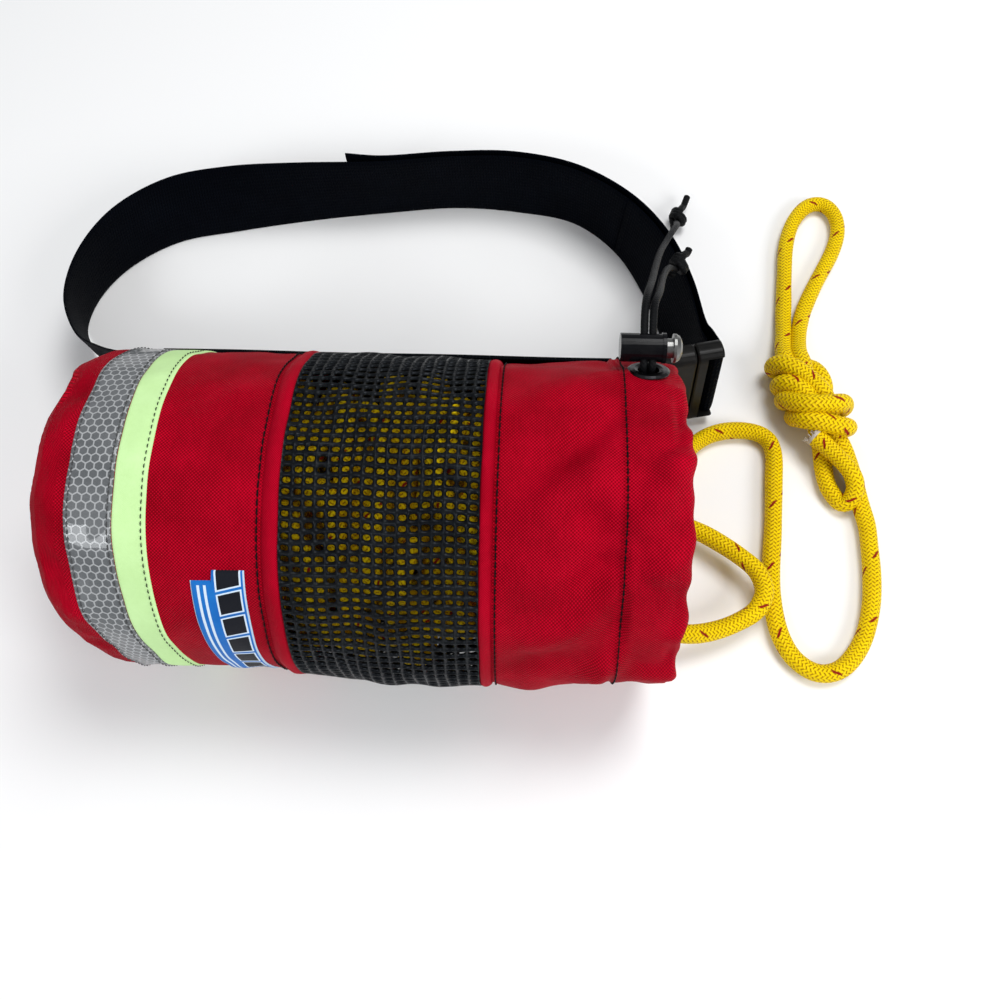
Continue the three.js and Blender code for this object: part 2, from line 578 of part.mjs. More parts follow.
function buildBuckle() {
  const group = new THREE.Group();
  group.applyMatrix4(buckleFrame);
  bag.add(group);
  const [T, W] = [BUCKLE_HALF_THICKNESS, BUCKLE_HALF_WIDTH];

  // A slab seen along u, with round sides.
  const roundSlab = (u0, u1, t, w, inset = 0) => {
    const shape = new THREE.Shape();
    const corner = t - 1.2;
    shape.moveTo(-t, -w + corner);
    shape.absarc(-t + corner, -w + corner, corner, Math.PI, 1.5 * Math.PI, false);
    shape.absarc(t - corner, -w + corner, corner, 1.5 * Math.PI, TAU, false);
    shape.absarc(t - corner, w - corner, corner, 0, 0.5 * Math.PI, false);
    shape.absarc(-t + corner, w - corner, corner, 0.5 * Math.PI, Math.PI, false);
    const bevel = { bevelEnabled: inset > 0, bevelSize: inset, bevelThickness: inset, bevelOffset: -inset,
      bevelSegments: 2 };
    const geometry = new THREE.ExtrudeGeometry(
      shape, { depth: u1 - u0 - 2 * inset, curveSegments: 5, ...bevel });
    geometry.applyMatrix4(new THREE.Matrix4().makeBasis(
      new THREE.Vector3(0, 1, 0), new THREE.Vector3(0, 0, 1), new THREE.Vector3(1, 0, 0)));
    return geometry.translate(u0 + inset, 0, 0);
  };
  const bar = (u, half) => {
    const geometry = new THREE.CylinderGeometry(BAR_RADIUS, BAR_RADIUS, 2 * half, 14);
    return geometry.rotateX(Math.PI / 2).translate(u, 0, 0);
  };

  const femaleEnd = -FEMALE_LENGTH;
  const slotWidth = BELT_WIDTH / 2 + 0.7;
  const female = cut(join([
    cut(roundSlab(femaleEnd, 0, T, W, 1.2), [
      box(femaleEnd - 1, -24, -T - 1, T + 1, -slotWidth, slotWidth)]),
    bar(FEMALE_BAR_U, slotWidth + 1.5)]), [
    box(-22, 1, -3.7, 3.7, -25.4, 25.4),
    box(-19, -9, -3.7, 3.7, -W - 1, -25),
    box(-19, -9, -3.7, 3.7, 25, W + 1)]);
  addPiece('buckle_female', female, PLASTIC_BLACK, group);

  const armEnd = MALE_BAR_U + BAR_RADIUS + 0.6;
  const male = join([
    cut(roundSlab(0.4, armEnd, T, W, 1.2), [
      box(6, armEnd + 1, -T - 1, T + 1, -slotWidth, slotWidth)]),
    bar(MALE_BAR_U, slotWidth + 1.5),
    box(-20, 1.5, -2.6, 2.6, -3.4, 3.4)]);
  addPiece('buckle_male', male, PLASTIC_BLACK, group);

  for (const [name, side] of [['buckle_prong_upper', 1], ['buckle_prong_lower', -1]]) {
    const shape = new THREE.Shape();
    const outline = [
      [-0.2, 17.2], [-0.2, 20.6], [-9.4, 21], [-10.6, 24.8], [-17.6, 24.8], [-20.6, 21.4],
      [-20.6, 19.4], [-9.6, 17.6]];
    outline.forEach(([u, w], i) => (i === 0 ? shape.moveTo(u, w * side) : shape.lineTo(u, w * side)));
    shape.closePath();
    const prong = new THREE.ExtrudeGeometry(shape, { depth: 6, bevelEnabled: false });
    prong.rotateX(Math.PI / 2).translate(0, 3, 0);
    addPiece(name, prong, PLASTIC_BLACK, group);
  }

  // The webbing's turn round the sliding half's bar, open towards the loop.
  const wrap = [
    buckleEdges(MALE_BAR_U - WRAP_RADIUS, 11.5), buckleEdges(MALE_BAR_U - WRAP_RADIUS, 6),
    ...roundBar(MALE_BAR_U, Math.PI, TAU, 8),
    buckleEdges(MALE_BAR_U + WRAP_RADIUS, 6), buckleEdges(MALE_BAR_U + WRAP_RADIUS, 11.5)];
  addPiece('belt_bar_wrap', webbing(wrap, 1), WEB_BLACK);
}

// ------------------------------------------------------------------- the rope

function buildRope() {
  const [p0, p1] = PACK_X;
  addPiece('rope_pack', bagFill([
    [p0, 50], [p0 + 6, 62], [p0 + 16, 69], [p0 + 30, PACK_RADIUS], [0, PACK_RADIUS],
    [p1 - 30, 70], [p1 - 14, 66], [p1 - 5, 58], [p1, 46]], 32), ROPE_YELLOW);

  const z = ROPE_Z;
  const strand = [
    [p1 + GAP, 24, 21], [104, 29, 18.5], [119, 35, 19], [131, 39.8, 22.4], [141, 46.8, 21.2],
    [151, 57, 14], [160, 68.5, 6.4], [169, 77.5, z], [181, 82.6, z], [192.5, 80, z],
    [200, 71, z], [203, 58, z], [202, 38, z], [200, 12, z], [199, -13, z], [198.8, -32, z],
    [201.5, -44, z], [208.5, -53.6, z], [219, -57.6, z], [229.6, -54, z], [239, -44, z],
    [245.5, -29, z], [250, -10, z], [251, 10, z], [249.4, 28, z], [248.4, 44, z], [248.2, 60, z],
    [247.4, 75.4, z + 0.6]];
  addPiece('rope_strand', cordTube(strand, ROPE_DIAMETER, 40, 10), ROPE_YELLOW);

  const bight = [
    [p1 + GAP, 8, 15], [104, 12.5, 13.8], [120, 17, 13.6], [136, 19.2, 13.8], [149, 18.6, 14],
    [160, 14.6, 14.2], [170, 8.6, 14.4], [180, 1.6, 14.6], [188.4, -7.2, 14.8], [191.4, -17.4, 14.9],
    [187, -27.4, 14.8], [176, -35, 14.8], [162, -40.4, 16], [149, -43, 19.6], [136, -41.8, 23],
    [122, -38.4, 22.4], [106, -32, 20], [p1 + GAP, -25, 20.5]];
  addPiece('rope_bight', cordTube(bight, ROPE_DIAMETER, 30, 10), ROPE_YELLOW);

  // The knot, and the short cut end that curls out of it and back over itself.
  const knot = new THREE.SphereGeometry(1, 20, 12);
  const p = knot.attributes.position;
  for (let i = 0; i < p.count; i += 1) {
    const [x, y, height] = [p.getX(i), p.getY(i), p.getZ(i)];
    p.setXYZ(i, 31 * x, 17 * y * (1 - 0.12 * x), 10.8 + 10.6 * height);
  }
  addPiece('rope_knot', bareGeometry(knot).rotateZ(-52 * DEG).translate(229, 104, 0), ROPE_YELLOW);
  const tail = [
    [227.6, 80.6, 5.6], [227.9, 74, z], [228.4, 62, z], [230.2, 49.4, z], [234.4, 40, 5.6],
    [239, 35.6, 9], [242.8, 37, 13.2], [244.4, 43.4, 15.2], [243.2, 52, 15.4], [239.8, 60.4, 15.4],
    [234.2, 67.8, 15.4], [226.8, 72.6, 15.6]];
  addPiece('rope_tail', cordTube(tail, ROPE_DIAMETER, 18, 10), ROPE_YELLOW);

  const hand = [
    [215.2, 131.5, z + 2.4], [216, 146, z], [216.2, 160, z], [217.6, 176, z], [219.8, 192, z],
    [221.6, 206, z], [224.8, 221, z], [231, 233.6, z], [239.6, 242, z], [248, 242.4, z],
    [254, 235, z], [255, 222, z], [250.6, 207, z], [243.4, 193, z], [236.4, 179.6, z],
    [230.4, 164, z], [226.6, 149, z], [225.2, 130.4, z + 2.4]];
  addPiece('hand_loop', cordTube(hand, ROPE_DIAMETER, 30, 10), ROPE_YELLOW);
}

buildBase();
buildPanels();
buildMouth();
buildCordLock();
buildDrawcordTails();
buildBelt();
buildBuckle();
buildRope();

export default bag;
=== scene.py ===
"""Looks of the throw rope bag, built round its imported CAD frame.

The bag lies on its side with its mouth at +X. The cloth, mesh, tapes, webbing,
foam, rope and free cords are built here, in millimetres, and turned into metres
as each mesh is made. The buckle, cord lock, grommet, the cord in the hem and the
rope's anchor loop are the CAD's own.
"""

import math

import bmesh
import bpy
import numpy as np
from mathutils import Matrix, Vector


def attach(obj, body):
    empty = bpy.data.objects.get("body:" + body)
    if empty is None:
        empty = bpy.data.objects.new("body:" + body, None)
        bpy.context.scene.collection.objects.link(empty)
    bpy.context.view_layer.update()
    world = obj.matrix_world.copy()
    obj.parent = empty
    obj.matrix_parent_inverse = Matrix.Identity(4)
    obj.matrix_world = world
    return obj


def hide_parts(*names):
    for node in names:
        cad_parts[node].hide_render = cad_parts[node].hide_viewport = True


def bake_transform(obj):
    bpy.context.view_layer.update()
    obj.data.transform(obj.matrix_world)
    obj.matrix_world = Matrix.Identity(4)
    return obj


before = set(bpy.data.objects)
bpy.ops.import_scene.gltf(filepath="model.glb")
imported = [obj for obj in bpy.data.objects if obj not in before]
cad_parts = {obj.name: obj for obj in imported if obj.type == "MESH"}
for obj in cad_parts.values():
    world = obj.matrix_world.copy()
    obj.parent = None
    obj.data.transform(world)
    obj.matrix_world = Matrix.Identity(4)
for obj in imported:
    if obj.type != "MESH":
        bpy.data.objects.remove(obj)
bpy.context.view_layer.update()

MM = 0.001
TAU = 2 * math.pi

# ------------------------------------------------------------------ the camera

CAMERA_PLACE = (0.0701, -0.1735, 0.4974)
CAMERA_RIGHT = (0.99902, 0.03916, -0.02063)
CAMERA_UP = (-0.02806, 0.92086, 0.38887)
CAMERA_AHEAD = (-0.03422, 0.38791, -0.92106)

camera_data = bpy.data.cameras.new("camera")
camera_data.lens = 34.69
camera_data.sensor_width = 36.0
camera_data.clip_start = 0.01
camera = bpy.data.objects.new("camera", camera_data)
bpy.context.scene.collection.objects.link(camera)
camera.matrix_world = Matrix([
    (CAMERA_RIGHT[k], CAMERA_UP[k], -CAMERA_AHEAD[k], CAMERA_PLACE[k]) for k in range(3)
] + [(0, 0, 0, 1)])
bpy.context.scene.camera = camera
bpy.context.scene.view_settings.view_transform = "Standard"

# ------------------------------------------------------------------ dimensions

HALF_WIDTH = 76.0        # the bag's section, along Y
HALF_HEIGHT = 73.0
FLAT_DEPTH = 65.7        # from the bag's axis down to its settled underside
FLAT_BLEND = 2.2         # how softly the section turns into its flat underside
AXIS_Z = 66.82
ROPE = 9.5               # diameters of the rope and of the drawcord
CORD = 3.4
ROPE_LENGTH = 20000.0
BELT_THICKNESS = 1.6

# ---------------------------------------------------------------- curves, tubes


def catmull(points, t):
    """Points on a centripetal Catmull-Rom curve at parameters t from 0 to 1."""
    p = np.asarray(points, float)
    ends = np.vstack([2 * p[0] - p[1], p, 2 * p[-1] - p[-2]])
    spans = len(p) - 1
    at = np.clip(np.asarray(t, float) * spans, 0, spans)
    k = np.minimum(at.astype(int), spans - 1)
    w = (at - k)[:, None]
    a, b, c, d = (ends[k + i] for i in range(4))
    gaps = [np.maximum(np.linalg.norm(y - x, axis=1) ** 0.5, 1e-4)[:, None]
            for x, y in ((a, b), (b, c), (c, d))]
    m1 = ((b - a) / gaps[0] - (c - a) / (gaps[0] + gaps[1]) + (c - b) / gaps[1]) * gaps[1]
    m2 = ((c - b) / gaps[1] - (d - b) / (gaps[1] + gaps[2]) + (d - c) / gaps[2]) * gaps[1]
    w2, w3 = w * w, w * w * w
    return (2 * w3 - 3 * w2 + 1) * b + (w3 - 2 * w2 + w) * m1 + (3 * w2 - 2 * w3) * c + (w3 - w2) * m2


def distances(path):
    """How far along a path each of its points lies."""
    return np.concatenate([[0], np.cumsum(np.linalg.norm(np.diff(path, axis=0), axis=1))])


def picked(path, along, at):
    """A path's points at the places at, where along holds the place of each of its own."""
    return np.stack([np.interp(at, along, path[:, k]) for k in range(3)], axis=1)


def spaced(path, step):
    """A path's points again, step apart along it."""
    path = np.asarray(path, float)
    along = distances(path)
    return picked(path, along, np.linspace(0, along[-1], max(2, int(round(along[-1] / step)) + 1)))


def smooth(points, finer):
    """The smooth curve through points, with finer times as many."""
    return catmull(points, np.linspace(0, 1, finer * len(points)))


def route(points, step=1.0):
    """The smooth route through a few points, as points step apart."""
    return spaced(smooth(points, 40), step)


def softened(path, passes):
    """A path with its corners eased, its ends kept."""
    path = np.array(path, float)
    for _ in range(passes):
        path[1:-1] = 0.5 * path[1:-1] + 0.25 * (path[:-2] + path[2:])
    return path


def path_length(path):
    """A path's whole length."""
    return float(np.linalg.norm(np.diff(path, axis=0), axis=1).sum())


def unit(v):
    """Vectors made 1 long."""
    return v / np.maximum(np.linalg.norm(v, axis=-1, keepdims=True), 1e-12)


def side_vectors(path):
    """Two directions across a path at each point, carried along it without twist."""
    along = unit(np.gradient(path, axis=0))
    first = np.zeros_like(path)
    side = np.array([0.0, 0.0, 1.0]) if abs(along[0][2]) < 0.9 else np.array([1.0, 0.0, 0.0])
    for i, t in enumerate(along):
        side = side - t * side.dot(t)
        side = side / math.sqrt(side.dot(side))
        first[i] = side
    return first, np.cross(along, first)


def circles(across, up, sides):
    """The unit circle that two directions span at each point of a path."""
    angle = np.arange(sides) * TAU / sides
    return across[:, None] * np.cos(angle)[None, :, None] + up[:, None] * np.sin(angle)[None, :, None]


# ---------------------------------------------------------------- mesh building


def new_object(name, vertices, faces, loop_uvs, material):
    """A smooth mesh object from millimetre points, with UVs in millimetres too."""
    mesh = bpy.data.meshes.new(name)
    faces = np.asarray(faces, np.int32)
    mesh.vertices.add(len(vertices))
    mesh.vertices.foreach_set("co", (np.asarray(vertices) * MM).astype(np.float32).ravel())
    mesh.loops.add(faces.size)
    mesh.loops.foreach_set("vertex_index", faces.ravel())
    mesh.polygons.add(len(faces))
    mesh.polygons.foreach_set("loop_start", np.arange(0, faces.size, faces.shape[1], dtype=np.int32))
    mesh.update(calc_edges=True)
    mesh.polygons.foreach_set("use_smooth", np.ones(len(faces), bool))
    if loop_uvs is not None:
        layer = mesh.uv_layers.new(name="UVMap")
        layer.data.foreach_set("uv", np.asarray(loop_uvs, np.float32).reshape(-1, 2).ravel())
    mesh.materials.append(material)
    mesh.update()
    thing = bpy.data.objects.new(name, mesh)
    bpy.context.scene.collection.objects.link(thing)
    return thing


def piece(name, part, material, slot, *nodes, body="bag"):
    """A part's object, which rides a body and stands for the CAD nodes named."""
    thing = new_object(name, *part, material)
    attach(thing, body)
    if nodes:
        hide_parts(*nodes)
    return thing


def grid(points, us, vs, closed=True):
    """Vertices, quads and loop UVs of rows of points. us and vs are the rows' and
    columns' coordinates. Where the rows are closed rings, vs is one longer."""
    rows, cols = points.shape[:2]
    r, c = np.arange(rows - 1), np.arange(cols if closed else cols - 1)
    rr, cc = (x.ravel() for x in np.meshgrid(r, c, indexing="ij"))
    corners = [(rr, cc), (rr + 1, cc), (rr + 1, cc + 1), (rr, cc + 1)]
    faces = np.stack([a * cols + (b % cols) for a, b in corners], axis=1)
    us, vs = np.asarray(us, float), np.asarray(vs, float)
    uv = np.stack([np.stack([us[a], vs[b]], axis=-1) for a, b in corners], axis=1)
    return points.reshape(-1, 3), faces, uv


def merged(parts):
    """Several parts' vertices, quads and UVs as one."""
    points, faces, uvs = zip(*parts)
    bases = np.cumsum([0] + [len(p) for p in points[:-1]])
    return (np.concatenate(points), np.concatenate([f + base for f, base in zip(faces, bases)]),
            np.concatenate(uvs))


def tube(path, radius, sides, relief=None, start=0.0):
    """A tube round a path. relief(s, angle) is added to its radius."""
    across, up = side_vectors(path)
    s = start + distances(path)
    r = np.full((len(path), sides), float(radius))
    if relief is not None:
        r = r + relief(s[:, None], (np.arange(sides) * TAU / sides)[None, :])
    points = path[:, None] + circles(across, up, sides) * r[:, :, None]
    return grid(points, s, np.arange(sides + 1) * TAU / sides)


def capped(part, start, end, sides):
    """A tube with both ends closed round a middle point."""
    points, faces, uv = part
    last = len(points) - sides
    points = np.vstack([points, start, end])
    caps = []
    for base, middle, flip in ((0, len(points) - 2, False), (last, len(points) - 1, True)):
        for k in range(0, sides, 2):
            a, b, c = base + k, base + (k + 1) % sides, base + (k + 2) % sides
            caps.append([middle, a, b, c] if flip else [middle, c, b, a])
    return points, np.vstack([faces, caps]), np.concatenate([uv, np.zeros((len(caps), 4, 2))])


# ------------------------------------------------------------ relaxing a rope

LOOK_AGAIN = 8           # steps between two searches for beads that are near each other


def pushed_apart(p, i, j, gap, share, most):
    """How far all beads move so that i and j come nearer to being gap apart: by a
    share of what is missing, and by no more than most."""
    d = p[j] - p[i]
    far = np.maximum(np.linalg.norm(d, axis=1), 1e-6)
    close = far < gap
    i, j, d, far = i[close], j[close], d[close], far[close]
    push = d * ((gap - far) / far * share)[:, None]
    shift = np.zeros_like(p)
    np.add.at(shift, i, -push)
    np.add.at(shift, j, push)
    size = np.linalg.norm(shift, axis=1, keepdims=True)
    return shift * np.minimum(1, most / np.maximum(size, 1e-6))


def relax(beads, starts, fixed, spacing, gap, bend_span, bend_reach, confine, steps):
    """Eases a rope made of beads until it keeps its length, bends no tighter
    than it can and lies clear of itself. starts marks each chain's first bead."""
    p = np.array(beads, float)
    chain = np.cumsum(starts)
    link = np.flatnonzero(chain[1:] == chain[:-1])
    bent = np.flatnonzero(chain[bend_span:] == chain[:-bend_span])
    free = (~fixed).astype(float)
    skip = int(math.ceil(gap / spacing)) + 1
    for step in range(steps):
        for odd in (0, 1):
            i = link[link % 2 == odd]
            d = p[i + 1] - p[i]
            far = np.maximum(np.linalg.norm(d, axis=1), 1e-6)
            share = np.maximum(free[i] + free[i + 1], 1e-6)
            move = d * ((far - spacing) / far / share)[:, None]
            p[i] += move * free[i][:, None]
            p[i + 1] -= move * free[i + 1][:, None]
        d = p[bent + bend_span] - p[bent]
        far = np.maximum(np.linalg.norm(d, axis=1), 1e-6)
        short = np.minimum(far - bend_reach, 0) / far * 0.25
        shift = np.zeros_like(p)
        np.add.at(shift, bent, d * short[:, None])
        np.add.at(shift, bent + bend_span, -d * short[:, None])
        p += shift * free[:, None]
        if step % LOOK_AGAIN == 0:
            q = p.astype(np.float32)
            square = (q * q).sum(1)
            near = square[:, None] + square[None, :] - 2 * q @ q.T < (gap * 1.5) ** 2
            i, j = np.nonzero(np.triu(near, 1))
            apart = (chain[i] != chain[j]) | (j - i > skip)
            pairs = i[apart], j[apart]
        p += pushed_apart(p, *pairs, gap, share=0.35, most=2.0) * free[:, None]
        p = np.where(fixed[:, None], p, confine(p))
    return p


# -------------------------------------------------------------- the rope's route

LIE = ROPE / 2 + 0.2     # a strand's middle when it lies on the surface

STRAND = [
    (88.5, 24, 21), (104, 29, 18.5), (119, 35, 19), (131, 40, 22.5), (141, 47, 21),
    (150, 58, 14), (156.5, 67, 7.5), (163.5, 74, LIE), (173, 79, LIE), (184, 81, LIE),
    (195, 80, LIE), (202, 76, LIE), (204.5, 67, LIE), (203.5, 50.5, LIE), (201, 21, LIE),
    (198.5, -1, LIE), (198, -21.5, LIE), (200.5, -38, LIE), (207, -50.5, LIE),
    (218, -57.5, LIE), (229.5, -55.5, LIE), (241, -43, LIE), (248.5, -24, LIE),
    (251.5, -3.5, LIE), (252, 16.5, LIE)]
BIGHT = [
    (88.5, 8, 15), (104, 12.5, 14), (120, 17, 13.5), (136, 19, 14), (149, 18.5, 14),
    (160, 14.5, 14), (170, 8.5, 14.5), (180, 1.5, 14.5), (188.5, -7, 15),
    (191.5, -17.5, 15), (187, -27.5, 15), (176, -35, 15), (162, -40.5, 16),
    (149, -43, 19.5), (136, -42, 23), (122, -38.5, 22.5), (106, -32, 20), (88.5, -25, 20.5)]
TAIL = [
    (244, 38.5, 9), (245.5, 43.5, 13), (244, 49.5, 15.5), (240, 56, 16), (235, 62, 16),
    (230, 68, 16), (225, 73, 16)]
HAND_LOOP = [
    (217.5, 166, LIE), (218.5, 178, LIE), (220, 192, LIE), (221.5, 206, LIE), (225, 221, LIE),
    (231, 233.5, LIE), (239.5, 242, LIE), (248, 242.5, LIE), (254, 235, LIE), (255, 222, LIE),
    (250.5, 207, LIE), (243.5, 193, LIE), (236.5, 179.5, LIE), (231, 167.5, LIE)]

# The knot's two passes from the standing side to the hand loop. The last number
# says how firmly a place is held: seen strands firmly, hidden ones hardly.
STANDING_PASS = [
    (251.5, 28, 5, 1), (249.5, 37.5, 5, 1), (247.5, 51.5, 5.5, 1), (244, 64.5, 7.5, 1),
    (240.5, 72.5, 11, 1), (237.5, 79.5, 13, 0.3), (234.5, 88, 13.5, 0.3), (230, 96, 14, 0.3),
    (225.5, 101.5, 17.5, 1), (221.5, 106.5, 21, 1), (216.5, 111.5, 22.5, 1), (209.5, 116, 21.5, 1),
    (206, 118.5, 15, 1), (208, 120, 7, 0.2), (215, 122.5, 5, 0.1), (223, 125.5, 5, 0.1),
    (228.5, 122, 9, 1), (232, 115, 12.5, 1), (234, 107.5, 13.5, 1), (234.5, 101, 11.5, 0.6),
    (233, 97, 6, 0.1), (226.5, 92.5, 5, 0.1), (219.5, 90.5, 6, 0.2), (215, 86.5, 14, 0.3),
    (217.5, 82, 20, 0.8), (225, 79.5, 22, 1), (232.5, 77.5, 22, 1), (239, 77, 20, 1),
    (244.5, 79.5, 13, 1), (243, 81.5, 6, 0.2), (235.5, 82.5, 5, 0.1), (227.5, 87.5, 5.5, 0.1),
    (219.5, 96, 8, 0.05), (215, 106, 10, 0.05), (213, 116, 12, 0.1), (213.5, 130, 10, 1),
    (215.5, 144, 6.5, 1), (216.5, 156, 5, 1)]
TAIL_PASS = [
    (239, 37, 5, 1), (233.5, 44.5, 5, 1), (231.5, 55, 5, 1), (231, 63.5, 6, 1), (231, 70.5, 9, 0.5),
    (230.5, 77, 12, 0.1), (227.5, 84.5, 13, 0.1), (224, 92, 14, 0.2), (221, 99, 18, 0.6),
    (216.5, 102, 21.5, 1), (210.5, 104, 22, 1), (207.5, 105, 17, 1), (209.5, 106, 9, 0.3),
    (216, 109, 5, 0.1), (223.5, 112, 5, 0.1), (229, 112.5, 6, 0.1), (231.5, 108, 6, 0.1),
    (231, 103, 5, 0.1), (224, 100, 5, 0.1), (215.5, 98, 6, 0.1), (209, 97.5, 12, 0.6),
    (210, 95, 18, 1), (215, 91, 21.5, 1), (221.5, 88, 22.5, 1), (229.5, 88, 22.5, 1),
    (237, 90, 21.5, 1), (244.5, 93.5, 14, 1), (245, 93, 6, 0.2), (238, 91, 5, 0.1),
    (229.5, 92.5, 5.5, 0.1), (224.5, 99.5, 9, 0.05), (221.5, 109.5, 11, 0.05), (220.5, 119.5, 12, 0.1),
    (221, 129, 10, 1), (223.5, 142, 6.5, 1), (227, 156, 5, 1)]
KNOT_STEP = 3.0          # between the beads that the knot is settled with
KNOT_GAP = 0.93 * ROPE   # its strands press into each other a little


def held_route(stations):
    """A pass as beads, with how firmly each is held."""
    table = np.array(stations, float)
    t = np.linspace(0, 1, 40 * len(table))
    fine = catmull(table[:, :3], t)
    firm = np.interp(t * (len(table) - 1), np.arange(len(table)), table[:, 3])
    along = distances(fine)
    at = np.linspace(0, along[-1], int(round(along[-1] / KNOT_STEP)) + 1)
    return picked(fine, along, at), np.interp(at, along, firm)


def settled_knot():
    """The knot's two passes, pushed apart where they would run through each other."""
    (first, first_firm), (second, second_firm) = held_route(STANDING_PASS), held_route(TAIL_PASS)
    p = np.vstack([first, second])
    wanted = p.copy()
    firm = np.concatenate([first_firm, second_firm])[:, None] * np.array([0.10, 0.10, 0.035])
    cut, count = len(first), len(p)
    order = np.arange(count)
    other = (order[:, None] < cut) != (order[None] < cut)
    skip = int(math.ceil(ROPE * 1.25 / KNOT_STEP)) + 1
    apart = np.triu((np.abs(order[:, None] - order[None]) > skip) | other, 1)
    for _ in range(260):
        near = ((p[:, None] - p[None]) ** 2).sum(-1) < KNOT_GAP ** 2
        p += pushed_apart(p, *np.nonzero(apart & near), KNOT_GAP, share=0.3, most=0.8)
        p += (wanted - p) * firm
        for start, end in ((0, cut), (cut, count)):
            q = p[start:end]
            q[1:-1] += (0.5 * q[1:-1] + 0.25 * (q[:-2] + q[2:]) - q[1:-1]) * 0.35
        p[:, 2] = np.maximum(p[:, 2], LIE)
    return p[:cut], p[cut:]


# The room that the bag gives its rope: half its width and height at its widest.
ROOM_WIDE = 70.0
ROOM_HIGH = 67.2
ROOM_LOW = 7.2


def inside_bag(p):
    """Beads brought back within the bag's room."""
    q = p.copy()
    q[:, 0] = np.clip(q[:, 0], -112.0, 93.0)
    scale = np.interp(q[:, 0], [-112, -100, 70, 93], [62, 68.5, 68.5, 56]) / 68.5
    height = q[:, 2] - AXIS_Z
    out = np.sqrt((q[:, 1] / (ROOM_WIDE * scale)) ** 2 + (height / (ROOM_HIGH * scale)) ** 2)
    over = np.maximum(out, 1)
    q[:, 1] /= over
    q[:, 2] = np.maximum(AXIS_Z + height / over, ROOM_LOW)
    return q


BEAD_STEP = 9.4
TURN_LENGTH = 74         # of loose rope for each turn of direction
BEADS_BENT = 4           # beads this many apart keep BENT_REACH between them
BENT_REACH = 31.0
SHORT_STRETCH = 900.0    # of rope in the bag between the bight and the strand
TIED_END = np.array([-114.0, 0, AXIS_Z])


def wander(rng, start, end, span, x0, x1):
    """A rope's loose run of length span, which turns round the bag from x0 to x1."""
    turns = max(4, int(span / TURN_LENGTH))
    angle = rng.uniform(0, TAU)
    way = [start]
    for k in range(turns):
        turn = rng.uniform(0.5, 1.1) if rng.random() < 0.55 else rng.uniform(1.6, 3.0)
        angle += turn * (1 if rng.random() < 0.72 else -1)
        r = rng.uniform(34, 64)
        x = x0 + (x1 - x0) * (k + 0.5) / turns + rng.uniform(-9, 9)
        way.append([x, r * math.cos(angle), AXIS_Z + r * math.sin(angle) * 0.94])
    path = route(np.array([*way, end]), 2.0)
    at = np.linspace(0, len(path) - 1, int(round(span / BEAD_STEP)) + 1)
    return picked(path, np.arange(len(path)), at)


def stuffed_rope(length, outside):
    """The rope stuffed in the bag, from its tied end to the bight's far leg,
    and the short stretch between the bight and the strand that leaves."""
    rng = np.random.default_rng(63)
    first = wander(rng, TIED_END, np.array(BIGHT[-1]), length - SHORT_STRETCH, -106, 84)
    second = wander(rng, np.array(BIGHT[0]), np.array(STRAND[0]), SHORT_STRETCH, 80, 30)
    kept_clear = outside[outside[:, 0] < 140][::6]
    cut, end = len(first), len(first) + len(second)
    beads = np.vstack([first, second, kept_clear])
    starts = np.zeros(len(beads), int)
    starts[[0, cut]] = 1
    starts[end:] = 1
    fixed = np.zeros(len(beads), bool)
    fixed[[0, cut - 1, cut, end - 1]] = True
    fixed[end:] = True
    beads = relax(
        beads, starts, fixed, BEAD_STEP, ROPE, BEADS_BENT, BENT_REACH, inside_bag,
        420)
    return softened(beads[:cut], 1), softened(beads[cut:end], 1)


def joined(pieces, step):
    """Paths run together, with the short straight gaps between them eased."""
    parts = [pieces[0]]
    for after in pieces[1:]:
        before = parts[-1]
        gap = np.linalg.norm(after[0] - before[-1])
        a = before[-1] + unit(before[-1] - before[-3]) * (gap / 3)
        b = after[0] + unit(after[0] - after[2]) * (gap / 3)
        w = np.linspace(0, 1, max(3, int(gap) + 1))[1:-1, None]
        bridge = ((1 - w) ** 3 * before[-1] + 3 * (1 - w) ** 2 * w * a
                  + 3 * (1 - w) * w ** 2 * b + w ** 3 * after[0])
        parts += [bridge, after]
    return spaced(np.vstack(parts), step)


FREE_STEP = 1.55         # between the points of the rope's free end
knot_standing, knot_tail = settled_knot()
strand_path, bight_path, hand_path, tail_path = (
    route(stations) for stations in (STRAND, BIGHT, HAND_LOOP, TAIL))
free_end = joined([strand_path, knot_standing, hand_path, knot_tail[::-1], tail_path], FREE_STEP)
free_end = spaced(softened(free_end, 6), FREE_STEP)
outside_length = path_length(free_end) + path_length(bight_path)
inner_first, inner_second = (
    spaced(softened(smooth(inner, 3), 1), 6.0)
    for inner in stuffed_rope(ROPE_LENGTH - outside_length, np.vstack([strand_path, bight_path])))
bight_fine = spaced(bight_path[::-1], 1.6)

# --------------------------------------------------------------- the rope's braid

CARRIERS = 16                     # in each direction
PITCH = 36.0                      # along the rope, one full turn of a carrier
CORD_CARRIERS = 8
CORD_PITCH = 11.0
STRAND_END = path_length(strand_path)
FIRST_PASS_END = STRAND_END + path_length(knot_standing)
SECOND_PASS_END = path_length(free_end) - path_length(tail_path)
SECOND_PASS_START = SECOND_PASS_END - path_length(knot_tail)


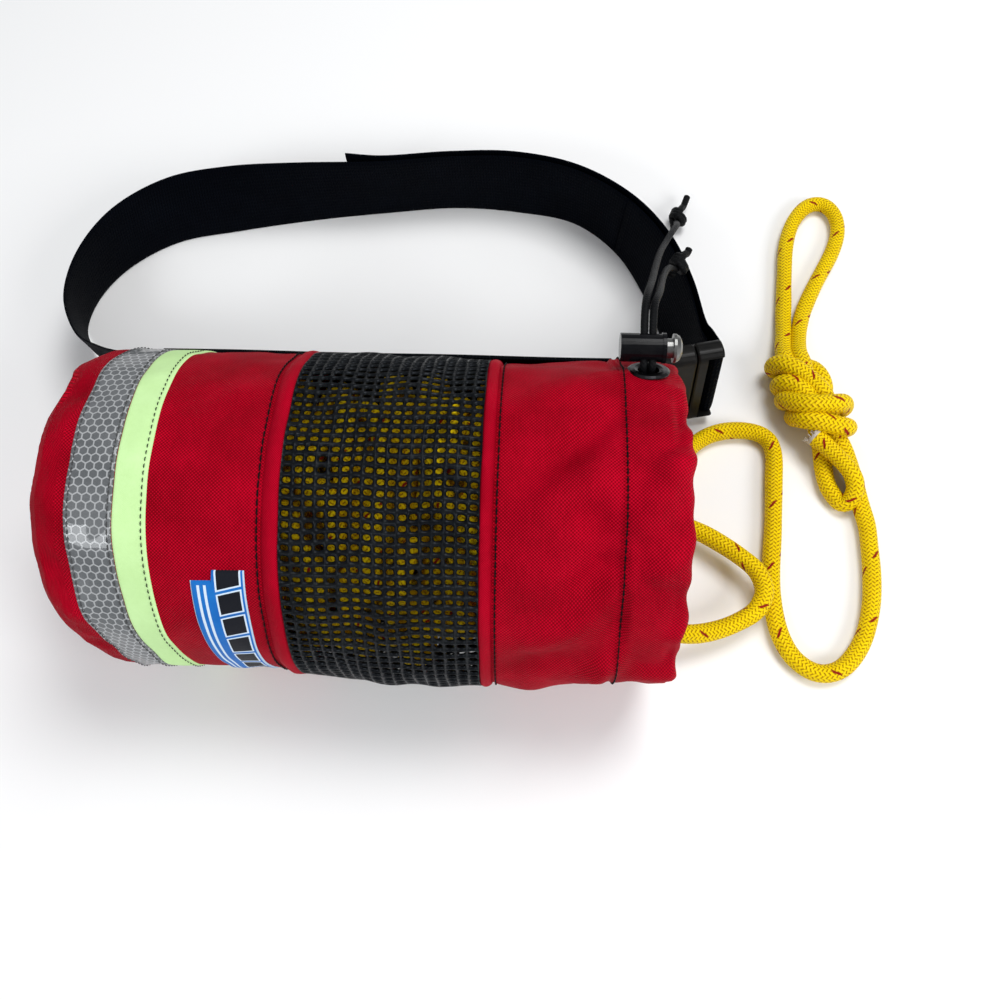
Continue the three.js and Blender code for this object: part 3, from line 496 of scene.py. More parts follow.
def free_end_swell(s, angle):
    """The rope is pressed plump in its knot, drawn thin in the hand loop, and
    opens out at its cut end."""
    end = path_length(free_end)
    stations = [
        0, STRAND_END + 20, STRAND_END + 60, FIRST_PASS_END - 60, FIRST_PASS_END - 20,
        FIRST_PASS_END + 60, SECOND_PASS_START - 60, SECOND_PASS_START + 20, SECOND_PASS_START + 60,
        SECOND_PASS_END - 60, SECOND_PASS_END - 20, end - 9, end]
    swell = [0.1, 0, 0.6, 0.6, 0, -0.3, -0.3, 0, 0.6, 0.6, 0.1, 0.1, 0.9]
    return np.interp(s, stations, swell) + 0.1 * np.sin(s / 7.0 + 2 * angle)


# Where the rope is plump its middle lies a little higher.
free_end[:, 2] = np.maximum(free_end[:, 2], ROPE / 2 + 0.12 + free_end_swell(distances(free_end), 0))


def slight_relief(s, angle):
    """The rope isn't quite round."""
    return 0.12 * np.sin(s / 6.1 + 2 * angle)


# ------------------------------------------------------------ building materials


def operation(kind):
    """A function that puts sockets and numbers through a math node of one kind."""
    def made(first, *others):
        return first.graph.math(kind, first, *others)
    return made


class Field:
    """A shader socket that adds, subtracts, multiplies and divides like a number."""

    def __init__(self, graph, socket):
        self.graph = graph
        self.socket = socket

    __add__, __sub__, __mul__, __truediv__ = (
        operation(kind) for kind in ("ADD", "SUBTRACT", "MULTIPLY", "DIVIDE"))

    def __rsub__(self, other):
        return self.graph.math("SUBTRACT", other, self)


maximum, minimum = operation("MAXIMUM"), operation("MINIMUM")
sine, cosine = operation("SINE"), operation("COSINE")
floor, absolute = operation("FLOOR"), operation("ABSOLUTE")
wrapped, less = operation("FLOORED_MODULO"), operation("LESS_THAN")


class Graph:
    """The node tree of one material."""

    def __init__(self, name):
        self.material = bpy.data.materials.new(name)
        self.material.use_nodes = True
        self.tree = self.material.node_tree
        self.tree.nodes.clear()
        self.output = self.tree.nodes.new("ShaderNodeOutputMaterial")
        self.shader = self.tree.nodes.new("ShaderNodeBsdfPrincipled")
        self.tree.links.new(self.shader.outputs["BSDF"], self.output.inputs["Surface"])
        self.places = {}

    def put(self, socket, value):
        if isinstance(value, Field):
            self.tree.links.new(value.socket, socket)
        elif hasattr(value, "__len__") and len(value) == 3 and socket.type == "RGBA":
            socket.default_value = (*value, 1)
        else:
            socket.default_value = value

    def math(self, operation, *values):
        node = self.tree.nodes.new("ShaderNodeMath")
        node.operation = operation
        for socket, value in zip(node.inputs, values):
            self.put(socket, value)
        return Field(self, node.outputs[0])

    def place(self, kind):
        """The three numbers of a texture coordinate, in millimetres."""
        if kind not in self.places:
            node = self.tree.nodes.new("ShaderNodeTexCoord")
            split = self.tree.nodes.new("ShaderNodeSeparateXYZ")
            self.tree.links.new(node.outputs[kind], split.inputs[0])
            scale = 1.0 if kind == "UV" else 1000.0
            self.places[kind] = [Field(self, s) * scale for s in split.outputs]
        return self.places[kind]

    def noise(self, size, detail=2.0, rough=0.5, source="Object", stretch=(1, 1, 1)):
        """Smooth noise from 0 to 1 with features about size millimetres wide."""
        x, y, z = self.place(source)
        join = self.tree.nodes.new("ShaderNodeCombineXYZ")
        for socket, value, by in zip(join.inputs, (x, y, z), stretch):
            self.put(socket, value * (by / size))
        node = self.tree.nodes.new("ShaderNodeTexNoise")
        node.inputs["Scale"].default_value = 1.0
        node.inputs["Detail"].default_value = detail
        node.inputs["Roughness"].default_value = rough
        self.tree.links.new(join.outputs[0], node.inputs["Vector"])
        return Field(self, node.outputs["Fac"])

    def mix(self, share, first, second):
        """A colour between two colours."""
        node = self.tree.nodes.new("ShaderNodeMix")
        node.data_type = "RGBA"
        self.put(node.inputs[0], share)
        self.put(node.inputs[6], first)
        self.put(node.inputs[7], second)
        return Field(self, node.outputs[2])

    def ramp(self, value, low, high):
        """value turned into 0 at low and 1 at high."""
        node = self.tree.nodes.new("ShaderNodeMapRange")
        node.interpolation_type = "SMOOTHSTEP"
        self.put(node.inputs[0], value)
        node.inputs[1].default_value = low
        node.inputs[2].default_value = high
        return Field(self, node.outputs[0])

    def bump(self, height, depth, strength=1.0):
        """Bumps depth millimetres high from a height of 0 to 1."""
        node = self.tree.nodes.new("ShaderNodeBump")
        node.inputs["Strength"].default_value = strength
        node.inputs["Distance"].default_value = depth * MM
        self.put(node.inputs["Height"], height)
        self.tree.links.new(node.outputs["Normal"], self.shader.inputs["Normal"])

    def set(self, **values):
        for name, value in values.items():
            self.put(self.shader.inputs[name.replace("_", " ")], value)
        return self.material


def coated_cloth(name, bright, dark, weave, depth=0.16, roughness=0.6):
    """Coated nylon cloth: a plain weave, slubs, and slow changes of tone."""
    g = Graph(name)
    u, v, _ = g.place("UV")
    warp = g.noise(30, source="UV") * 0.5
    pick = sine((u + warp) * (TAU / weave)) * sine((v + warp) * (TAU / weave))
    ribs = sine((u + v) * (TAU / (weave * 2.0)))
    slub = g.noise(1.6, 3, 0.6, "UV", (1, 0.25, 1))
    height = pick * 0.5 + ribs * 0.12 + slub * 0.4 + 0.3
    tone = g.noise(24, 3, 0.55) * 0.5 + slub * 0.2 + pick * 0.32 + 0.08
    colour = g.mix(g.ramp(tone, 0.25, 0.75), dark, bright)
    g.bump(height, depth, 0.9)
    return g.set(
        Base_Color=colour, Roughness=roughness, Specular_IOR_Level=0.06,
        Specular_Tint=(1.0, 0.35, 0.4, 1))


def webbing_cloth(name, base, lift):
    """Nylon webbing: fine cross ribs, lengthwise columns and a faint sheen."""
    g = Graph(name)
    u, v, _ = g.place("UV")
    column = sine(v * (TAU / 2.6))
    rib = sine((u + column * 0.22) * (TAU / 1.7))
    fibre = g.noise(0.5, 3, 0.6, "UV", (0.4, 1, 1))
    height = rib * 0.34 + column * 0.2 + fibre * 0.35 + 0.4
    wear = g.noise(18, 3, 0.6) * 0.6 + rib * 0.16 + fibre * 0.3
    g.bump(height, 0.3, 0.9)
    return g.set(
        Base_Color=g.mix(g.ramp(wear, 0.3, 0.85), base, lift), Roughness=0.62,
        Specular_IOR_Level=0.02)


def braided(name, bright, painted_shade_colour, carriers, pitch, radius, fleck=None):
    """A round braid, drawn from the rope's own length and angle. fleck is the
    colour of its one dyed carrier."""
    g = Graph(name)
    s, angle, _ = g.place("UV")
    turn = TAU / pitch
    step = TAU / carriers
    right = (angle - s * turn) / step
    left = (angle + s * turn) / step
    i, j = floor(right), floor(left)
    across_right = (right - i) * 2 - 1
    across_left = (left - j) * 2 - 1
    half = carriers / 2
    phase_right = s * (half * turn) + i * math.pi - math.pi / 4
    phase_left = s * (half * turn) - j * math.pi + math.pi * 1.25
    wave_right, wave_left = cosine(phase_right), cosine(phase_left)
    high_right = (1 - across_right * across_right) * 0.6 + wave_right * 0.5
    high_left = (1 - across_left * across_left) * 0.6 + wave_left * 0.5
    top = maximum(high_right, high_left)
    right_shows = less(high_left - high_right, 0.0)
    across = across_left + (across_right - across_left) * right_shows
    yarn = sine(across * 9.0)
    fuzz = g.noise(0.5, 3, 0.65)
    height = top * 0.75 + yarn * 0.07 + fuzz * 0.16
    # The grooves between the yarns are painted darker than their crowns: painted shade, mixed with random
    # fuzz and tone.
    painted_groove_shade = g.ramp(top + yarn * 0.08 + fuzz * 0.5, 0.25, 1.2)
    tone = painted_groove_shade * (g.noise(7, 2, 0.5) * 0.5 + 0.75)
    colour = g.mix(tone, painted_shade_colour, bright)
    if fleck:
        # The dyed carrier runs in one direction and comes to the top every other time.
        mine = g.math("COMPARE", wrapped(i, float(carriers)), 0.0, 0.5)
        showing = wrapped(phase_right / TAU + 0.5, 2.0)
        shown = less(absolute(showing - 0.5), 0.46)
        inner = less(absolute(across_right) + fuzz * 0.4, 1.0)
        colour = g.mix(mine * shown * inner, colour, fleck)
    g.bump(height, radius * 0.14, 1.0)
    return g.set(Base_Color=colour, Roughness=0.5, Specular_IOR_Level=0.09)


def moulded(name, colour, lift, roughness, grain=0.35, depth=0.02):
    """Moulded plastic: fine grain, faint scuffs and slow changes of tone."""
    g = Graph(name)
    speck = g.noise(grain, 3, 0.6)
    cloud = g.noise(9, 3, 0.6)
    scuff = g.noise(1.8, 4, 0.7, "Object", (0.3, 1, 1))
    g.bump(speck * 0.6 + scuff * 0.4, depth, 0.7)
    return g.set(
        Base_Color=g.mix(g.ramp(cloud * 0.6 + scuff * 0.4, 0.35, 0.75), colour, lift),
        Roughness=g.ramp(cloud * 0.4 + scuff * 0.6, 0.0, 1.3) * 0.25 + (roughness - 0.1),
        Specular_IOR_Level=0.14)


def metal(name, colour, roughness):
    """Metal with faint scratches and a cloudy polish."""
    g = Graph(name)
    cloud = g.noise(3, 3, 0.6)
    scratch = g.noise(0.6, 3, 0.7, "Object", (0.2, 1, 1))
    g.bump(scratch, 0.01, 0.5)
    rough = cloud * 0.2 + scratch * 0.12 + (roughness - 0.12)
    return g.set(Base_Color=colour, Metallic=1.0, Roughness=rough)


def vinyl_mesh(name):
    """Vinyl-coated yarn: a lumpy, glossy skin."""
    g = Graph(name)
    lump = g.noise(0.9, 2, 0.5)
    fine = g.noise(0.3, 3, 0.6)
    cloud = g.noise(14, 3, 0.6)
    g.bump(lump * 0.7 + fine * 0.3, 0.16, 0.8)
    return g.set(
        Base_Color=g.mix(g.ramp(cloud, 0.3, 0.7), (0.0025, 0.003, 0.004), (0.007, 0.008, 0.009)),
        Roughness=lump * 0.25 + 0.15, Specular_IOR_Level=0.12,
        Specular_Tint=(0.80, 0.88, 1.0, 1))


def hexagon_tape(name):
    """Clear-faced reflective tape: grey cells in a raised net of pale lines."""
    g = Graph(name)
    u, v, _ = g.place("UV")
    pitch = 3.9
    row = pitch * math.sqrt(3)

    def cell(offset_u, offset_v):
        a = wrapped(u + offset_u, pitch) - pitch / 2
        b = wrapped(v + offset_v, row) - row / 2
        return absolute(a), absolute(b)

    a1, b1 = cell(0.0, 0.0)
    a2, b2 = cell(pitch / 2, row / 2)
    reach1 = maximum(a1, a1 * 0.5 + b1 * math.sqrt(3) / 2)
    reach2 = maximum(a2, a2 * 0.5 + b2 * math.sqrt(3) / 2)
    inside = minimum(reach1, reach2)
    net = g.ramp(inside, pitch / 2 - 0.42, pitch / 2 - 0.2)
    bead = g.noise(0.4, 2, 0.5)
    cloud = g.noise(26, 3, 0.6)
    grey = g.mix(
        g.ramp(bead * 0.4 + cloud * 0.6, 0.3, 0.7), (0.095, 0.102, 0.108), (0.165, 0.172, 0.180))
    colour = g.mix(net, grey, (0.38, 0.39, 0.40))
    wrinkle = g.noise(9, 3, 0.6, "UV", (0.5, 1, 1))
    g.bump(net * 0.35 + wrinkle * 0.9 + bead * 0.05, 0.55, 0.5)
    return g.set(
        Base_Color=colour, Roughness=0.4, Specular_IOR_Level=0.2,
        Coat_Weight=0.5, Coat_Roughness=0.05)


def lime_tape(name):
    """Fluorescent tape: a matt, fine cloth face."""
    g = Graph(name)
    u, v, _ = g.place("UV")
    weave = sine(u * (TAU / 0.7)) * sine(v * (TAU / 0.7))
    cloud = g.noise(16, 3, 0.6)
    soil = g.noise(2.2, 4, 0.7)
    g.bump(weave * 0.5 + soil * 0.5, 0.08, 0.7)
    return g.set(
        Base_Color=g.mix(
            g.ramp(cloud * 0.7 + soil * 0.3, 0.3, 0.75), (0.56, 0.83, 0.37), (0.62, 0.90, 0.43)),
        Roughness=0.6, Specular_IOR_Level=0.1)


def blue_patch(name):
    """A printed patch: blue, pale edges, a band of dark blocks and two white lines."""
    g = Graph(name)
    u, v, _ = g.place("UV")
    thread = sine(u * (TAU / 0.5)) * 0.5 + sine(v * (TAU / 0.5)) * 0.5
    slant = wrapped(v + u * 0.25, 13.0)
    block_u = minimum(u - 11.2, 20.8 - u)
    block_v = minimum(slant - 1.4, 11.6 - slant)
    block = minimum(block_u, block_v)
    lines = minimum(absolute(u - 3.4), absolute(u - 6.2))
    lines = maximum(lines, 7.0 - v)
    cloud = g.noise(12, 2, 0.5)
    face = g.mix(cloud, (0.003, 0.10, 0.42), (0.010, 0.19, 0.60))
    face = g.mix(g.ramp(lines, 0.65, 0.5), face, (0.66, 0.78, 0.90))
    face = g.mix(g.ramp(block, -0.8, -0.7), face, (0.66, 0.78, 0.90))
    face = g.mix(g.ramp(block, -0.05, 0.05), face, (0.004, 0.005, 0.010))
    edge = minimum(minimum(u, 23.0 - u), 94.0 - v)
    face = g.mix(g.ramp(edge, 0.7, 0.45), face, (0.50, 0.66, 0.82))
    g.bump(thread * 0.5 + cloud * 0.3, 0.08, 0.7)
    return g.set(Base_Color=face, Roughness=0.5, Specular_IOR_Level=0.15)


def foam(name):
    """Closed-cell foam: fine dark cells."""
    g = Graph(name)
    cell = g.noise(1.1, 4, 0.7)
    g.bump(cell, 0.3, 0.8)
    return g.set(Base_Color=g.mix(cell, (0.02, 0.022, 0.025), (0.06, 0.065, 0.07)), Roughness=0.9)


red_cloth = coated_cloth("red_cloth", (0.55, 0.0012, 0.020), (0.20, 0.0003, 0.005), 1.5, 0.3)
red_binding = coated_cloth("red_binding", (0.54, 0.0015, 0.022), (0.26, 0.0006, 0.008), 1.0, 0.2)
black_webbing = webbing_cloth("black_webbing", (0.0006, 0.0011, 0.0026), (0.0022, 0.0034, 0.0065))
sleeve_webbing = webbing_cloth("sleeve_webbing", (0.0012, 0.0018, 0.003), (0.005, 0.006, 0.008))
# Each braid's second colour is painted shade, laid into the grooves between its yarns.
rope_skin = braided(
    "rope_skin", (0.97, 0.70, 0.002), (0.42, 0.17, 0.0), CARRIERS, PITCH, ROPE / 2,
    (0.30, 0.012, 0.006))
cord_skin = braided(
    "cord_skin", (0.0045, 0.005, 0.006), (0.001, 0.001, 0.0013), CORD_CARRIERS, CORD_PITCH, CORD / 2)
black_plastic = moulded("black_plastic", (0.004, 0.004, 0.004), (0.010, 0.009, 0.008), 0.36)
glossy_plastic = moulded(
    "glossy_plastic", (0.003, 0.003, 0.004), (0.007, 0.007, 0.008), 0.22, 0.5, 0.01)
domed_metal = metal("domed_metal", (0.20, 0.20, 0.195), 0.3)
gunmetal = metal("gunmetal", (0.035, 0.035, 0.038), 0.27)
steel = metal("steel", (0.55, 0.55, 0.56), 0.3)
mesh_vinyl = vinyl_mesh("mesh_vinyl")
silver_face = hexagon_tape("silver_face")
lime_face = lime_tape("lime_face")
patch_face = blue_patch("patch_face")
foam_face = foam("foam_face")


def thread_look(name, colour):
    """Twisted, slightly fuzzy thread."""
    g = Graph(name)
    x, y, _ = g.place("Object")
    twist = sine(x * 14 + y * 14)
    fuzz = g.noise(0.3, 2, 0.6)
    g.bump(twist * 0.4 + fuzz * 0.6, 0.05, 0.8)
    return g.set(
        Base_Color=g.mix(fuzz, colour, tuple(c * 2.2 for c in colour)), Roughness=0.6,
        Specular_IOR_Level=0.08)


black_thread = thread_look("black_thread", (0.002, 0.002, 0.003))
grey_thread = thread_look("grey_thread", (0.045, 0.045, 0.047))
pale_yarn = thread_look("pale_yarn", (0.36, 0.33, 0.29))

# ------------------------------------------------------------- the rope, as one

ROPE_SIDES = 32
HIDDEN_SIDES = 10
# start is where the braid's pattern begins, so that the parts don't repeat each other.
rope = new_object("rope", *merged([
    tube(free_end, ROPE / 2 - 0.05, ROPE_SIDES, free_end_swell),
    tube(bight_fine, ROPE / 2 + 0.1, ROPE_SIDES, slight_relief, start=9000.0),
    tube(inner_first, ROPE / 2 - 0.1, HIDDEN_SIDES, start=12000.0),
    tube(inner_second, ROPE / 2 - 0.1, HIDDEN_SIDES, start=4000.0)]), rope_skin)

# The cut end's cup: how far each ring lies beyond the tip, and its radius.
CUP = [(-1.2, 5.62), (0.6, 5.75), (0.9, 5.2), (-1.2, 4.5), (-4.2, 3.7), (-5.2, 0.2)]
CUP_RIM = (1, 2)         # the rings that are frayed
CUP_SIDES = 32
BRISTLES = 46


def cut_end(path):
    """The rope's cut end: a hollow of pale inner yarn with a frayed rim."""
    rng = np.random.default_rng(12)
    tip = path[-1]
    ahead = unit(path[-1] - path[-4])
    across = unit(np.cross(ahead, [0.0, 0.0, 1.0]))
    up = np.cross(across, ahead)
    ring = circles(across[None], up[None], CUP_SIDES)[0]
    ragged = rng.uniform(-0.5, 0.7, CUP_SIDES)
    rows = []
    for k, (depth, radius) in enumerate(CUP):
        beyond = depth + (ragged if k in CUP_RIM else np.zeros(CUP_SIDES))
        rows.append(tip + ahead * beyond[:, None] + ring * radius)
    parts = [grid(np.stack(rows), np.arange(len(rows)), np.arange(CUP_SIDES + 1))]
    for _ in range(BRISTLES):
        turn = rng.uniform(0, TAU)
        way = across * math.cos(turn) + up * math.sin(turn)
        start = tip + way * rng.uniform(4.4, 5.4) - ahead * 1.0
        lean = way * rng.uniform(-0.6, 1.3) + rng.uniform(-0.5, 0.5, 3)
        reach = rng.uniform(1.8, 4.4)
        bristle = route([start, start + ahead * reach * 0.5 + lean * 0.25, start + ahead * reach + lean], 0.6)
        parts.append(tube(bristle, rng.uniform(0.22, 0.36), 5))
    return merged(parts)


rope_end = piece("rope_cut_end", cut_end(free_end), pale_yarn, "rope")
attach(rope, "bag")
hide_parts("rope_pack", "rope_strand", "rope_bight", "rope_knot", "rope_tail", "hand_loop")

# ---------------------------------------------------------- the bag's own surface

SLEEVE_BELOW = 8         # degrees from the bag's axis down to the middle of the belt's sleeve
SLEEVE_ANGLE = math.radians(-SLEEVE_BELOW)
MESH_MIDDLE = 8
SEAMS = (-40.4, 53.2, 107.0)


def creases(x, arc, lines):
    """The sum of soft ridges (+) and valleys (-) along short lines on the cloth.
    A line is its two ends, each x and arc, its width and its height."""
    total = np.zeros(np.broadcast(x, arc).shape)
    for x0, s0, x1, s1, width, height in lines:
        dx, ds = x1 - x0, s1 - s0
        long = dx * dx + ds * ds
        t = ((x - x0) * dx + (arc - s0) * ds) / long
        near = np.clip(t, 0, 1)
        off2 = (x - x0 - near * dx) ** 2 + (arc - s0 - near * ds) ** 2
        fade = np.clip(1.25 - np.abs(2 * near - 1) * 0.85, 0, 1)
        total += height * fade * np.exp(-off2 / (2 * width * width))
    return total


MOUTH_CREASES = [
    (104, -19, 68, 14, 5.0, -2.4), (106, 8, 70, 27, 6.5, 2.0), (109, 40, 85, 66, 5.5, -2.6),
    (88, 20, 101, 36, 6.0, -1.6), (104, -46, 66, -22, 8.0, 1.3), (100, 70, 66, 92, 8.0, 1.4),
    (96, 92, 62, 104, 6.0, -1.5), (135, -2, 109, 38, 5.5, 2.4), (135, -30, 113, 4, 6.0, -2.0),
    (118, 58, 112, 90, 8.0, -2.6), (135, 42, 116, 56, 5.0, 1.6), (135, 96, 117, 104, 6.0, -2.2),
    (108, 96, 96, 118, 5.0, 1.6), (130, -58, 108, -44, 7.0, 0.6), (80, 118, 60, 150, 9.0, 1.4),
    (120, 130, 90, 170, 8.0, -1.8), (110, -80, 84, -110, 9.0, 1.4)]
BASE_CREASES = [
    (-124, 4, -134, 10, 6.0, -2.2), (-125, 30, -136, 28, 5.0, 1.6), (-126, 54, -136, 58, 5.0, -2.0),
    (-124, 76, -134, 82, 6.0, 1.4), (-124, -24, -134, -30, 7.0, -1.6), (-60, -30, -48, 40, 12.0, -0.8),
    (-84, 60, -62, 90, 11.0, 0.9), (-80, 10, -56, 20, 12.0, 0.7), (-124, 100, -132, 110, 7.0, -1.8)]


def waves(x, arc, seed, count, shortest, longest):
    """Slow random swells over the cloth, about 1 high in all."""
    rng = np.random.default_rng(seed)
    total = np.zeros(np.broadcast(x, arc).shape)
    for _ in range(count):
        size = rng.uniform(shortest, longest)
        way = rng.uniform(0, TAU)
        # A whole number of waves round the bag, so that the swell closes.
        round_it = round(TAU * HALF_WIDTH * math.sin(way) / size)
        total += np.sin(
            x * TAU * math.cos(way) / size + arc * round_it / HALF_WIDTH + rng.uniform(0, TAU))
    return total / math.sqrt(count)


def arc_of(angle):
    """Millimetres round the bag from its top, towards the front."""
    turned = (np.asarray(angle, float) - math.pi / 2 + math.pi) % TAU - math.pi
    return HALF_WIDTH * turned


def relief(x, angle):
    """How far the cloth stands out of the bag's plain section."""
    x, angle = np.broadcast_arrays(np.asarray(x, float), np.asarray(angle, float))
    arc = arc_of(angle)
    swell = (0.55 * waves(x, arc, seed=7, count=14, shortest=34, longest=90)
             + 0.25 * waves(x, arc, seed=11, count=18, shortest=15, longest=30))
    bulge = 1.1 * np.exp(-((x - MESH_MIDDLE) / 30.0) ** 2)
    mesh_lump = 0.6 * waves(x, arc, seed=19, count=16, shortest=20, longest=34)
    mesh_lump = mesh_lump * np.exp(-((x - MESH_MIDDLE) / 34.0) ** 4)
    folds = 2.5 * creases(x, arc, MOUTH_CREASES) + 1.2 * creases(x, arc, BASE_CREASES)
    # A hollow on the belt's side of the top, and a fuller front edge.
    folds = folds - 3.2 * np.exp(-((arc + 78) / 24) ** 2) * np.clip((x + 60) / 60, 0, 1) * (x < 104)
    folds = folds + 3.8 * np.exp(-((arc - 122) / 34) ** 2) * np.clip((x + 50) / 60, 0, 1)
    neck = np.clip((x - 96) / 40, 0, 1)
    pucker = neck ** 2 * (
        0.8 * np.sin(arc / HALF_WIDTH * 19 + 1.6 * np.sin(arc / 23.0))
        + 0.4 * np.sin(arc / HALF_WIDTH * 34 + 0.9 + np.sin(arc / 41.0)))
    from_sleeve = (np.degrees(angle) + SLEEVE_BELOW + 180) % 360 - 180
    sleeve = np.exp(-from_sleeve ** 2 / (2 * 22.0 ** 2))
    sleeve = sleeve * ((x > -125) & (x < 118))
    # The cloth lies flat where the sleeve is sewn on, and plain underneath.
    under = np.clip((np.sin(angle) + 0.99) / 0.3, 0.0, 1)
    total = (swell + mesh_lump + folds + pucker - 0.6) * (1 - 0.85 * sleeve)
    seam = sum(-0.7 * np.exp(-((x - at) / 2.6) ** 2) for at in SEAMS)
    total = (total + seam) * under + bulge * 0.6 * under
    # The drawcord's channel in the hem leaves room for the hem's own thickness.
    channel = np.clip((x - 109) / 3, 0, 1) * np.clip((131 - x) / 3, 0, 1)
    return total + channel * np.maximum(-1.3 - total, 0)


def profile(x):
    """The radius of the bag's cloth along it."""
    stations = [-144.0, -143.2, -142.0, -140.0, -136.0, -130.5, -123, -60, 110, 126, 132, 135.5]
    radii = [44.0, 56.0, 64.5, 70.2, 74.0, 75.8, 76.2, 76.0, 76.0, 75.6, 74.6, 73.4]
    return np.interp(x, stations, radii)


# How far the closed end's rim is pushed in, by millimetres round from the top.
RIM_AROUND = [
    -239, -150, -100, -66, -50, -38, -28, -16, -5, 10, 24, 43, 53, 60, 71, 84, 103, 120, 160, 239]
RIM_PUSH = [5, 4, 1, -1.5, 4, 8.5, 8.5, 5, -1.5, -0.5, 2, 0.5, -0.5, 1, 4, 5, 5, 4, 5, 5]


def drawn_in(x, angle):
    """How far the cloth is drawn along the bag towards its mouth."""
    arc = arc_of(angle)
    lower = np.clip((arc - 42) / 75, 0, 1.15) ** 1.5 * 8.5
    upper = np.clip((-50 - arc) / 40, 0, 1) * 4.0
    fade = np.clip((-52 - x) / 72, 0, 1.1)
    ends = np.clip((239 - np.abs(arc)) / 60, 0, 1)
    return (lower + upper) * fade * ends


def on_bag(x, angle, lift=0.0):
    """Points of the bag's outer face at x and angle, raised by lift."""
    x, angle, lift = np.broadcast_arrays(
        np.asarray(x, float), np.asarray(angle, float), np.asarray(lift, float))
    radius = profile(x) + relief(x, angle) + lift
    x = x + drawn_in(x, angle)
    scale = radius / HALF_WIDTH
    height = HALF_HEIGHT * np.sin(angle)
    above = height + FLAT_DEPTH
    height = 0.5 * (above + np.sqrt(above * above + FLAT_BLEND * FLAT_BLEND)) - FLAT_DEPTH
    z = np.maximum(AXIS_Z + scale * height, 0.35 + 0.1 * np.clip(lift, 0, 2))
    return np.stack([x, radius * np.cos(angle), z], axis=-1)


ROUND = 240
full_round = np.arange(ROUND) * TAU / ROUND
ARC_ROUND = np.arange(ROUND + 1) * TAU * HALF_WIDTH / ROUND


def cloth_band(name, xs, lift, material, slot, node, shift=None):
    """A band of cloth right round the bag, at stations xs with their lifts."""
    xs = np.asarray(xs, float)
    lifts = np.broadcast_to(np.asarray(lift, float), xs.shape)
    x = xs[:, None] + (0 if shift is None else shift(xs[:, None], full_round[None, :]))
    points = on_bag(np.broadcast_to(x, (len(xs), ROUND)), full_round[None, :], lifts[:, None])
    run = np.concatenate([[0], np.cumsum(np.maximum(np.hypot(np.diff(xs), np.diff(lifts)), 1e-3))])
    return piece(name, grid(points, run, ARC_ROUND), material, slot, node)


def ramp_stations(x0, x1, step):
    """Even stations from x0 to x1, about step apart."""
    return np.linspace(x0, x1, max(2, int(round((x1 - x0) / step)) + 1))


def mouth_shift(x, angle):
    """The mouth's edge runs in and out where the hem is gathered."""
    arc = arc_of(angle)
    near = np.clip((x - 118) / 17, 0, 1) ** 1.5
    edge = (
        0.55 * np.sin(arc / HALF_WIDTH * 26 + 0.6 + 1.3 * np.sin(arc / 27.0))
        + 0.6 * np.sin(arc / HALF_WIDTH * 12 + 2.0) + 0.8 * np.cos((arc - 20) / 46.0))
    return near * edge


def base_shift(x, angle):
    """The closed end's rim is pushed in unevenly between soft corners."""
    arc = arc_of(angle)
    near = np.clip((-121.5 - x) / 19, 0, 1)
    return near * (np.interp(arc, RIM_AROUND, RIM_PUSH) + 0.4 * np.sin(arc / 4.1))


# The folded base: rings of the end's face, drawn out to meet the side's first ring.
BASE_EDGE = -144.0
FACE_RADIUS = 40.0
face_radii = np.linspace(0.02, FACE_RADIUS, 20)[:, None]
face_share = face_radii / FACE_RADIUS
face_rings = np.stack([
    -143.0 + 1.4 * np.cos(face_share * math.pi / 2) + base_shift(BASE_EDGE, full_round) * face_share ** 2
    + 0.5 * np.sin(3 * full_round + 1) * face_share,
    face_radii * np.cos(full_round),
    AXIS_Z + face_radii * 0.96 * np.sin(full_round)], axis=-1)
side_x = ramp_stations(BASE_EDGE, -127.4, 0.7)
side_rings = on_bag(
    side_x[:, None] + base_shift(side_x[:, None], full_round[None, :]), full_round[None, :])
face_rings += (side_rings[0] - face_rings[-1]) * face_share[:, :, None] ** 2
base_points = np.vstack([face_rings[:-1], side_rings])
base_run = np.concatenate([face_radii[:-1, 0], FACE_RADIUS + np.arange(len(side_x)) * 1.5])
base_part = grid(base_points, base_run, ARC_ROUND)
# The weave runs straight across the end's face, and along the bag on its side.
face_rows = len(face_radii) + 3
face_quads = base_part[1][:face_rows * ROUND]
base_part[2][:face_rows * ROUND] = base_part[0][face_quads][:, :, 1:]
piece("base_cloth", base_part, red_cloth, "bag_fabric", "base_panel")

# The foam disc lies against the end's cloth and takes its shape.
FOAM_THICK = 10.0
FOAM_SCALE = 0.965
FOAM_BEHIND = 1.5        # from the cloth's outer face to the foam
foam_front = base_points[:face_rows + 1] * [1, FOAM_SCALE, FOAM_SCALE]
foam_front += [FOAM_BEHIND, 0, AXIS_Z * (1 - FOAM_SCALE)]
foam_points = np.vstack([foam_front, foam_front[::-1] + [FOAM_THICK, 0, 0]])
foam_part = grid(foam_points, np.arange(len(foam_points)) * 3.0, np.arange(ROUND + 1) * 1.0)
piece("foam_disc", foam_part, foam_face, "foam", "base_foam_disc")

cloth_band("lower_cloth", ramp_stations(-127.6, -39.6, 1.6), 0.0, red_cloth, "bag_fabric", "lower_panel",
           base_shift)
cloth_band("upper_cloth", ramp_stations(50.6, 107.4, 1.2), 0.0, red_cloth, "bag_fabric", "upper_panel")

